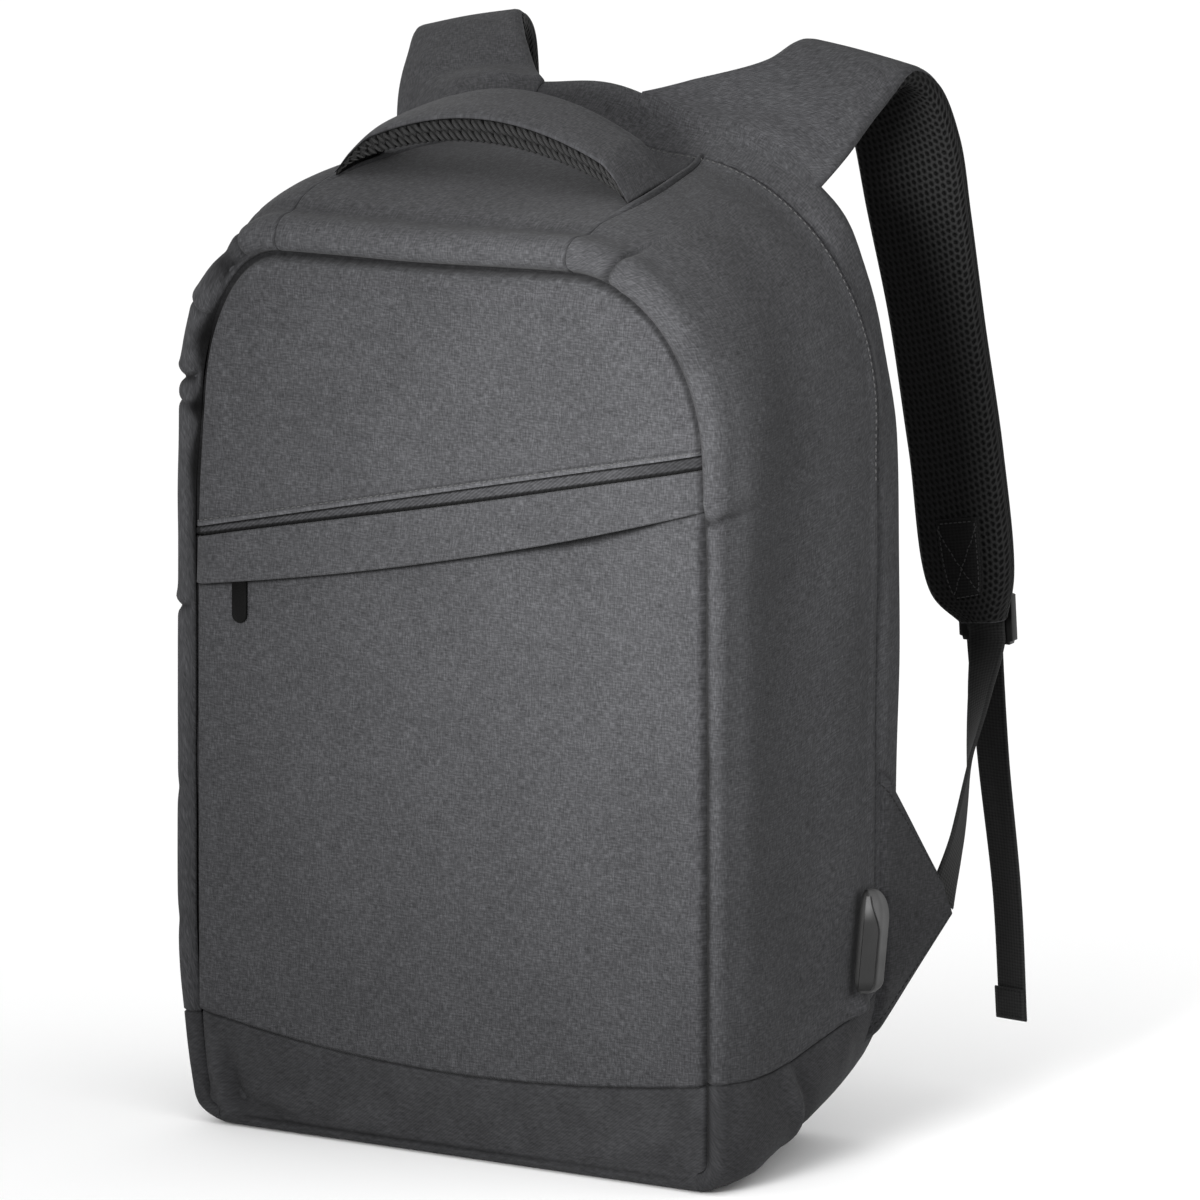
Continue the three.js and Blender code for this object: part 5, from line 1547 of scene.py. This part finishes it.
def handle_braid():
    """Two rows of slanted threads along the handle's front edge."""
    us = np.linspace(*BRAID.span, 400)
    line = raised(handle_frame(us, np.array([0.0]), HANDLE.lining_margin)[:, 0], -handle_droop(us))
    tall = HANDLE_TALL * handle_share(us) + handle_droop(us)
    s = lengths_along(line)
    braid = Threads()
    front = np.array([0.0, -1.0, 0.0])
    for row, middle in enumerate(BRAID.rows):
        for place in np.arange(1 + row * BRAID.pitch / 2, s[-1] - BRAID.reach, BRAID.pitch):
            ends = [raised(on_line(at, s, line), np.interp(at, s, tall) * (middle + up))
                    for at, up in ((place, BRAID.half), (place + BRAID.reach, -BRAID.half))]
            swell = BRAID.radius * np.interp(place, s, tall) / HANDLE_TALL
            braid.add(*ends, front, swell, arch=0.7, sink=0.3)
    braid.piece("handle_braid", "yarn")


handle()
handle_braid()

# Shoulder straps. The first row of each lies on the body, which gives its heights.
STRAP_START = Numbers(depth=137, rise_right=-0.1, rise_left=0.9, bend=0.14)
STRAP_RIGHT = [
    # inner edge: x, depth, height; outer edge: x, depth, height
    (10, 137, None, 106, 137, None),
    (30, 147, 465, 111, 150, 438),
    (56, 165, 472.5, 115, 171, 457),
    (62, 184, 479, 118, 190, 469),
    (66, 201, 470.5, 121.5, 206, 462),
    (72.5, 210, 444, 126, 216, 438),
    (79, 215, 404, 130, 219, 404),
    (86.5, 222, 355, 135, 222.5, 356),
    (92.5, 229, 295, 140, 230, 298),
    (99.5, 237, 229, 141.5, 237, 240),
    (113, 240, 217.5, 136, 239.5, 219.5),
]
STRAP_LEFT = [
    # inner edge: x, depth, height; outer edge: x, depth, height
    (-44, 137, None, -124, 137, None),
    (-58, 152, 462.5, -131.5, 150, 443),
    (-75.5, 168, 474, -140.5, 170, 457.5),
    (-87.5, 184, 479, -148.5, 188, 465),
    (-94.5, 201, 470, -152, 203, 457),
    (-98, 209, 444, -152, 211, 437),
    (-99, 213, 404, -150, 214, 404),
    (-98.5, 219, 355, -146.5, 218, 356),
    (-97, 228, 295, -143, 227, 298),
    (-99.5, 237, 229, -141.5, 237, 240),
    (-113, 240, 217.5, -136, 239.5, 219.5),
]
STRAP_PADDING, STRAP_LINING = 6, 3
LINING_LOW = -1 - CLEARANCE - STRAP_LINING
# Heights of the strap's top and underside: at its base, further along, and the fractions between them
STRAP_TOP, STRAP_UNDER = (1.5, STRAP_PADDING - 1, 0, 0.16), (-2.6, LINING_LOW, 0.06, 0.2)
STRAP_ROUND, STRAP_CROWN, STRAP_CROWN_FROM = 0.48, 0.5, (2, 5)
STRAP_FACE = np.linspace(0, 1, 15)[1:-1]
STRAP_WAVE_DIRECTION = np.array([0.3, 0.6, 0.6])
STRAP_FLANGE = [
    # forward of the base, height of the top side, height of the underside
    (7.0, -0.4, -2.4),
    (6.6, 0.5, -2.4),
    (5.2, 1.0, -2.4),
    (2.5, 1.3, -2.6),
]
# The mesh wraps the strap's inner face and both edges, up to an angle above the middle of an edge. That angle
# grows along the strap, so near the body the edge is cloth.
LINING_WRAP = Numbers(low=math.radians(-60), high=math.radians(40), grows=(0.19, 0.34))
LINING_SPAN, LINING_OUT, LINING_IN, LINING_PILLOW = (0.165, 0.999), 0.5, -0.7, 0.4
PATCH = Numbers(span=(0.845, 0.92), margin=13, across=16, along=30, outward=1.6, inward=0.2)


def sewn_height(x, depth):
    return top_height(x, depth) + np.where(np.asarray(x) > 0, STRAP_START.rise_right, STRAP_START.rise_left)


class Strap:
    """The middle layer of a shoulder strap. Across it, u runs towards +X."""

    def __init__(self, rows, side):
        def place(x, depth, z):
            return x, depth - HALF_DEPTH, float(sewn_height(x, depth)) if z is None else z

        inner, outer = ([place(*row[k:k + 3]) for row in rows] for k in (0, 3))
        self.start, self.end = (inner, outer) if side > 0 else (outer, inner)

    def middle(self, u, ts):
        """Points at fractions u across, one row of them for each fraction, and fractions ts along."""
        u = np.asarray(u, float)[..., None]
        points = lerp(smooth_curve(self.start, ts), smooth_curve(self.end, ts), u)
        base = lerp(np.array(self.start[0]), np.array(self.end[0]), u)
        hollow = sewn_height(base[..., 0], STRAP_START.depth) - base[..., 2]
        points[..., 2] += hollow * fade(ts, 0, STRAP_START.bend)
        return points

    def outward(self, u, ts):
        step = 2e-3
        across = self.middle(np.ones_like(u), ts) - self.middle(np.zeros_like(u), ts)
        ahead = self.middle(u, ts + step) - self.middle(u, ts - step)
        return unit(np.cross(across, ahead))

    def width(self, ts):
        return np.linalg.norm(smooth_curve(self.end, ts) - smooth_curve(self.start, ts), axis=-1)

    def layer(self, u, ts, height):
        """Points of a layer at heights above the strap's middle."""
        return self.middle(u, ts) + self.outward(u, ts) * np.asarray(height)[..., None]

    def flange(self, u, forward, height):
        """Points on the body in front of the strap's base, where it is sewn on."""
        x = lerp(self.start[0][0], self.end[0][0], u)
        depth = STRAP_START.depth - forward
        return at_depth(x, depth, sewn_height(x, depth) + height)


def strap_edges(width, top, low, out, arcs):
    """Points round the right and left edges of a strap's section, moved outwards."""
    radius, half, level = STRAP_ROUND * (top - low), (top - low) / 2, (top + low) / 2
    right = [(width - radius + (radius + out) * np.cos(a), level + (half + out) * np.sin(a)) for a in arcs]
    left = [(radius - (radius + out) * np.cos(a), level + (half + out) * np.sin(a)) for a in arcs[::-1]]
    return right, left


def as_fractions(places, width):
    """Places across a strap as fractions of its width, and their heights."""
    across, heights = (np.array([place[k] + 0 * width for place in places]) for k in (0, 1))
    return across / width, heights


def strap_section(width, top, low):
    """The strap's closed section, from its inner face round its edges."""
    right, left = strap_edges(width, top, low, 0, np.linspace(-QUARTER, QUARTER, 9))
    radius = STRAP_ROUND * (top - low)
    crown = STRAP_CROWN * smoothstep(top, *STRAP_CROWN_FROM)
    inner = [(lerp(radius, width - radius, f), low) for f in STRAP_FACE]
    outer = [(lerp(width - radius, radius, f), top + crown * (1 - (2 * f - 1) ** 2)) for f in STRAP_FACE]
    return as_fractions(inner + right + outer + left, width)


def lining_section(ts, width, top, low, out):
    """The mesh's section, from its left edge under the strap to its right edge."""
    wrap = lerp(LINING_WRAP.low, LINING_WRAP.high, smoothstep(ts, *LINING_WRAP.grows))
    right, left = strap_edges(width, top, low, out, np.linspace(-QUARTER, wrap, 8))
    radius = STRAP_ROUND * (top - low)
    face = [(lerp(radius, width - radius, f), low - out - LINING_PILLOW * (1 - (2 * f - 1) ** 4))
            for f in STRAP_FACE]
    return as_fractions(left + face + right, width)


def strap_levels(ts):
    return [lerp(low, high, smoothstep(ts, *reach)) for low, high, *reach in (STRAP_TOP, STRAP_UNDER)]


def strap_cloth(name, form):
    ts = joined(np.linspace(0, 0.5, 120), np.linspace(0.5, 1, 90))
    u, height = strap_section(form.width(ts), *strap_levels(ts))
    rings = form.layer(u, ts, height).transpose(1, 0, 2)
    flange = []
    for forward, high, under in STRAP_FLANGE:
        u, height = strap_section(form.width(ts[:1]), np.array([high]), np.array([under]))
        flange.append(form.flange(u[:, 0], forward, height[:, 0]))
    rings = np.concatenate([np.array(flange), rings])
    rings += waves(rings, STRAP_WAVE)[..., None] * STRAP_WAVE_DIRECTION
    tube(f"strap_{name}_cloth", rings[:, ::-1], "melange", [f"strap_{name}"])


def strap_lining(name, form):
    ts = np.linspace(*LINING_SPAN, 170)
    layers = []
    for out in (LINING_OUT, LINING_IN):
        u, height = lining_section(ts, form.width(ts), *strap_levels(ts), out)
        layers.append(form.layer(u, ts, height)[::-1])
    slab(f"strap_{name}_lining", *layers, "mesh", [f"strap_mesh_{name}"], rim=0.8)


def strap_patch(name, form):
    """Patch on the inner face, sewn round its border and with a cross."""
    ts = np.linspace(*PATCH.span, PATCH.along)
    margin = PATCH.margin / form.width(ts)[None]
    across = lerp(margin, 1 - margin, np.linspace(0, 1, PATCH.across)[:, None])
    under, over = (form.layer(across, ts, LINING_LOW - off + 0 * across)
                   for off in (PATCH.outward, PATCH.inward))
    out = -form.outward(across, ts)
    slab(f"strap_{name}_patch", under[::-1], over[::-1], "binding", [f"strap_patch_{name}"], rim=0.5)
    cross = np.linspace(2, PATCH.along - 3, PATCH.across).astype(int)
    rows = np.arange(PATCH.across)
    picks = [(rows, cross), (rows[::-1], cross)]
    picks += [(k, np.s_[1:-1]) for k in (1, -2)] + [(np.s_[1:-1], k) for k in (1, -2)]
    stitches(f"strap_{name}_patch_stitches", [(under[pick], out[pick]) for pick in picks], "thread_mid",
             length=1.8, gap=0.7, radius=0.3)


for name, rows, side in (("right", STRAP_RIGHT, 1), ("left", STRAP_LEFT, -1)):
    form = Strap(rows, side)
    strap_cloth(name, form)
    strap_lining(name, form)
    strap_patch(name, form)

# Wings, webbing and ladder locks: alike on both sides
SIDES = (("right", 1), ("left", -1))
WING = Numbers(top=176, bottom=50, thickness=2, tip_x=148, tip_top_depth=170, tip_top_height=113,
               tip_low_depth=178, tip_low_height=98, sink=3.6, sink_reach=0.16, hem=4.0, hem_height=0.35,
               hem_reach=(4.4, 5.4), waves_from=(0.02, 0.2))


def wing(name, side):
    loop = LOOPS[RIDGE_DEPTH + 1]
    us, vs = spread(46, ends=0.5), spread(56, ends=0.5)
    lengths = loop.length_at_height(lerp(WING.bottom - WING.hem, WING.top, vs))
    x, z = loop.at(lengths, -CLEARANCE - WING.thickness).T
    sewn = at_depth(x, RIDGE_DEPTH + SEAM_OVERLAP, z)
    tip = at_depth(WING.tip_x + WING.thickness, lerp(WING.tip_low_depth, WING.tip_top_depth, vs),
                   lerp(WING.tip_low_height, WING.tip_top_height, vs))
    grid = lerp(sewn[None], tip[None], us[:, None, None])
    grid[..., 0] -= WING.sink * fade(us, 0, WING.sink_reach)[:, None]
    along = arc(grid, 1)
    hem = WING.hem_height * fade(np.minimum(along, along[:, -1:] - along), *WING.hem_reach)
    lift = hem + waves(grid, WING_WAVE) * smoothstep(us, *WING.waves_from)[:, None]
    out = normals_of(grid)
    outer, inner = grid + lift[..., None] * out, grid - WING.thickness * out
    hems = [row_at_distance(grid, WING.hem, 1, from_end) for from_end in (False, True)]
    lines = [(mirrored(outer[2:-2, j], side), mirrored(out[2:-2, j], side)) for j in hems]
    uv = grid[..., 1:]
    if side < 0:
        outer, inner, uv = mirrored(outer, side)[:, ::-1], mirrored(inner, side)[:, ::-1], uv[:, ::-1]
    piece = slab(f"wing_{name}_cloth", outer, inner, "melange_wing", [f"wing_{name}"], rim=0.7, uv=uv)
    seams = stitches(f"wing_{name}_stitches", lines, "thread_dark", length=2.4, gap=0.9, radius=0.26)


for name, side in SIDES:
    wing(name, side)

WEBBING_WIDTH, WEBBING_WALL = 20, 1.6
# Rows of webbing: x, depth, height and the angle across it in degrees
WEBBING = [(146.6, 174, 104, 90), (144, 190, 127, 108), (135, 214, 158, 122), (126, 236, 187, 150),
           (122, 247, 208, 178)]
# Beyond the CAD's end, the webbing goes over the lock's middle bar and down behind it
WEBBING_LOOP = [(121.8, 246.4, 215, 180), (121.4, 246.6, 220.5, 180), (120.4, 249.4, 224.2, 180),
                (118.6, 253.2, 222, 180), (116.8, 254.3, 216, 180)]
TAIL = [(115.5, 254.2, 213, 180), (116, 254.6, 200, 176), (120.5, 254.6, 152, 168), (128.5, 254, 92, 162),
        (132.5, 253.5, 34.5, 160)]
# The tail's end is folded to the front and sewn through
TAIL_HEM = Numbers(span=(0.935, 0.998), wall=1.3, width=21.0, shift=1.6)
TAIL_STITCHES = Numbers(at=(0.94, 0.99), half=9, points=12, front=2.3, back=-0.85)


def ribbon_frames(rows, vs):
    """Middle points, directions across and outward directions of flat webbing."""
    x, depth, z, turn = np.array(rows, float).T
    points = at_depth(x, depth, z)
    middle = smooth_curve(points, vs)
    step = 1e-3
    along = unit(smooth_curve(points, vs + step) - smooth_curve(points, vs - step))
    turn = np.radians(np.interp(vs * (len(rows) - 1), range(len(rows)), turn))
    across = np.stack([np.cos(turn), np.sin(turn), 0 * turn], -1)
    across = unit(across - (across * along).sum(-1, keepdims=True) * along)
    return middle, across, np.cross(across, along)


def ribbon(name, rows, vs, side, nodes, wall_size=WEBBING_WALL, width=WEBBING_WIDTH, shift=0.0):
    """A strip of webbing and its middle line."""
    middle, across, out = ribbon_frames(rows, vs)
    us = np.linspace(-0.5, 0.5, 9)[:, None, None]
    layers = [mirrored(middle + us * width * across + (shift + off) * out, side)[::side]
              for off in (wall_size / 2, -wall_size / 2)]
    return slab(name, *layers, "webbing", nodes, rim=0.5), mirrored(middle, side)


def tail(name, side):
    """The free end of the webbing, with its hem and the stitches on both faces of it."""
    strip, path = ribbon(f"tail_{name}_tape", TAIL, np.linspace(0, 1, 100), side, [f"tail_{name}"])
    hem, _ = ribbon(f"tail_{name}_hem", TAIL, np.linspace(*TAIL_HEM.span, 10), side, [], TAIL_HEM.wall,
                    TAIL_HEM.width, TAIL_HEM.shift)
    count = 200
    middle, across, out = ribbon_frames(TAIL, np.linspace(0, 1, count + 1))
    places = np.linspace(-TAIL_STITCHES.half, TAIL_STITCHES.half, TAIL_STITCHES.points)[:, None]
    lines = []
    for off in (TAIL_STITCHES.front, TAIL_STITCHES.back):
        for row in (int(count * f) for f in TAIL_STITCHES.at):
            points = middle[row] + across[row] * places + out[row] * off
            outs = np.tile(out[row] * math.copysign(1, off), (len(places), 1))
            lines.append((mirrored(points, side), mirrored(outs, side)))
    sewn = stitches(f"tail_{name}_stitches", lines, "thread_dark", length=1.8, gap=0.8, radius=0.25,
                    slot="webbing")
    path[0] * MM
    path * MM


for name, side in SIDES:
    ribbon(f"webbing_{name}_tape", WEBBING + WEBBING_LOOP, np.linspace(0, 1, 130), side, [f"webbing_{name}"])
    tail(name, side)

LOCK = Numbers(x=120, depth=250, height=219, width=29, tall=25, bar=4.5, thickness=4, lean=5, edge=2,
               cut=1.6, rounding=1.1)


def ladder_lock(name, side):
    """A moulded frame with two slots, its bars rounded."""
    half, high, bar, edge = LOCK.width / 2, LOCK.tall / 2, LOCK.bar, LOCK.edge
    slot_tall = (LOCK.tall - 3 * bar) / 2
    xs = [-half, -half + edge, -half + bar, half - bar, half - edge, half]
    zs = [-high, -high + edge, -high + bar, -high + bar + slot_tall, high - bar - slot_tall, high - bar,
          high - edge, high]
    columns, rows = len(xs) - 1, len(zs) - 1
    vertices, faces, number = [], [], {}

    def corner(i, j, level):
        key = (i, j, level)
        if key not in number:
            cut = LOCK.cut if i in (0, columns) and j in (0, rows) else 0
            number[key] = len(vertices)
            vertices.append((xs[i] * (1 - cut / half), level * LOCK.thickness / 2, zs[j] * (1 - cut / high)))
        return number[key]

    def solid(i, j):
        return 0 <= i < columns and 0 <= j < rows and not (i == 2 and j in (2, 4))

    for i, j in np.ndindex(columns, rows):
        if not solid(i, j):
            continue
        ring = [(i, j), (i + 1, j), (i + 1, j + 1), (i, j + 1)]
        faces.append([corner(*place, -1) for place in ring])
        faces.append([corner(*place, 1) for place in (ring[0], ring[3], ring[2], ring[1])])
        for k, (di, dj) in enumerate(((0, -1), (1, 0), (0, 1), (-1, 0))):
            if not solid(i + di, j + dj):
                p, q = ring[k], ring[(k + 1) % 4]
                faces.append([corner(*q, -1), corner(*p, -1), corner(*p, 1), corner(*q, 1)])
    x, y, z = np.array(vertices, float).T
    lean = math.radians(LOCK.lean)
    points = at_depth(x + side * LOCK.x, y * math.cos(lean) - z * math.sin(lean) + LOCK.depth,
                      y * math.sin(lean) + z * math.cos(lean) + LOCK.height)
    piece = link_mesh(f"lock_{name}_frame", points, faces, np.zeros((len(points), 2)), "plastic",
                      [f"ladder_lock_{name}"])
    bevel = piece.modifiers.new("rounding", "BEVEL")
    bevel.width = LOCK.rounding * MM
    bevel.segments = 3
    bevel.limit_method = "ANGLE"


for name, side in SIDES:
    ladder_lock(name, side)

# Port's hood and cover
PORT_SECTION = [
    # run back, rise off the side
    (0, 0.8),
    (4.7, 8.4),
    (9.4, 9.8),
    (10, 0.8),
]
# Cover of the port: its sizes, and a painted highlight near its top
PORT_COVER = Numbers(side=0.1, end=0.05, gap=0.4, wall=1.2, top=0.4, narrows=(0.6, 1), worn=7.5,
                     worn_from=(0.72, 0.9), worn_at=0.25, worn_width=0.3)
# Painted shade on the hood's front wall, and painted light on its outer face behind the ridge
PORT_DARK, PORT_DARK_RUN, PORT_PALE = 0.12, (0.3, 2.0), 0.35
PORT_ROUND = 9


def port_points(run, rise, vs):
    """Points of the port at runs and rises of its section and fractions of its length."""
    def rounded(t):
        return lerp(PORT.low_edge, 1, np.sqrt(1 - (1 - np.minimum(t, 1)) ** 2))

    loop = LOOPS[PORT.depth]
    side_x = loop.at(loop.length_at_height(PORT.height))[0] + PORT.stand
    share = np.minimum(rounded((1 - vs) / PORT.top_reach), rounded(vs / PORT.low_reach))
    middle = PORT_SECTION[-1][0] / 2
    up = PORT.long * (vs - 0.5)
    run, rise = (np.asarray(a, float).reshape(len(a), -1) for a in (run, rise))
    depth = PORT.depth + middle + (run - middle) * lerp(PORT.narrow, 1, share) + up * PORT_SLOPE
    return at_depth(side_x + rise * share, depth, PORT.height + up)


def port():
    vs = spread(60, ends=0.6)
    (foot_run, foot_rise), (ridge_run, ridge_rise) = PORT_SECTION[:2]
    corners = np.array([(foot_run, -PORT.sink), *PORT_SECTION, (PORT_SECTION[-1][0], -PORT.sink)])
    lengths = lengths_along(corners)
    sharp = on_line(np.linspace(0, lengths[-1], 70), lengths, corners)
    padded = np.pad(sharp, ((PORT_ROUND // 2, PORT_ROUND // 2), (0, 0)), mode="edge")
    run, rise = (np.convolve(padded[:, k], np.full(PORT_ROUND, 1 / PORT_ROUND), "valid") for k in (0, 1))
    # Painted shade on the front wall and painted light on the outer face
    shade = lerp(PORT_DARK, 1, smoothstep(run, *PORT_DARK_RUN))
    shade += PORT_PALE * smoothstep(run, ridge_run, ridge_run + 1)
    inside = np.full(len(run), -PORT.sink - PORT.inside)
    slab("port_hood", port_points(run, rise, vs), port_points(run, inside, vs), "rubber", ["port_frame"],
         rim=0.3, shade=np.repeat(shade[:, None], len(vs), 1))
    widest = lerp(1 - PORT_COVER.side, PORT_COVER.top, smoothstep(vs, *PORT_COVER.narrows))
    across = lerp(PORT_COVER.side, widest[None, :], np.linspace(0, 1, 16)[:, None])
    face = port_points(lerp(foot_run, ridge_run, across), lerp(foot_rise, ridge_rise, across),
                       lerp(PORT_COVER.end, 1 - PORT_COVER.end, vs))
    out = unit(np.array([ridge_run - foot_run, foot_rise - ridge_rise, 0]))
    # A painted highlight near the top of the cover
    worn = smoothstep(vs, *PORT_COVER.worn_from) * bell(across, PORT_COVER.worn_at, PORT_COVER.worn_width)
    slab("port_lid", face + (PORT_COVER.gap + PORT_COVER.wall) * out, face + PORT_COVER.gap * out,
         "rubber_dark", ["port_cover"], rim=0.5, shade=1 + PORT_COVER.worn * worn)


port()

# Floor and light
FLOOR_HALF, FLOOR_DROP = 40.0, 0.0008
LIGHTS = [
    # name, place, aim, size, spread in degrees, watts
    ("key", (0.20, -0.80, 0.43), (0.14, -0.07, 0.315), 0.4, 47, 2.2),
    ("top", (0.10, -0.30, 1.90), (0.0, 0.0, 0.4), 1.2, 120, 1.0),
]
WORLD_STRENGTH = 1.06


def make_floor():
    mesh = bpy.data.meshes.new("floor")
    corners = [(x * FLOOR_HALF, y * FLOOR_HALF, 0) for x, y in ((-1, -1), (1, -1), (1, 1), (-1, 1))]
    mesh.from_pydata(corners, [], [(0, 1, 2, 3)])
    floor = bpy.data.objects.new("floor", mesh)
    floor.location.z = -FLOOR_DROP
    bpy.context.scene.collection.objects.link(floor)
    paint = bpy.data.materials.new("floor_paint")
    paint.use_nodes = True
    shader = paint.node_tree.nodes["Principled BSDF"]
    shader.inputs["Base Color"].default_value = (0.97, 0.97, 0.97, 1)
    shader.inputs["Roughness"].default_value = 0.9
    mesh.materials.append(paint)


def make_lights():
    for name, place, aim, size, angle, watts in LIGHTS:
        data = bpy.data.lights.new(name, "AREA")
        data.size = size
        data.spread = math.radians(angle)
        data.energy = watts
        light = bpy.data.objects.new(name, data)
        light.location = place
        light.rotation_mode = "QUATERNION"
        light.rotation_quaternion = (Vector(aim) - Vector(place)).to_track_quat("-Z", "Y")
        bpy.context.scene.collection.objects.link(light)
    world = bpy.data.worlds.new("studio")
    world.use_nodes = True
    background = world.node_tree.nodes["Background"]
    background.inputs["Color"].default_value = (1, 1, 1, 1)
    background.inputs["Strength"].default_value = WORLD_STRENGTH
    bpy.context.scene.world = world
    bpy.context.scene.view_settings.view_transform = "Standard"


make_floor()
make_lights()
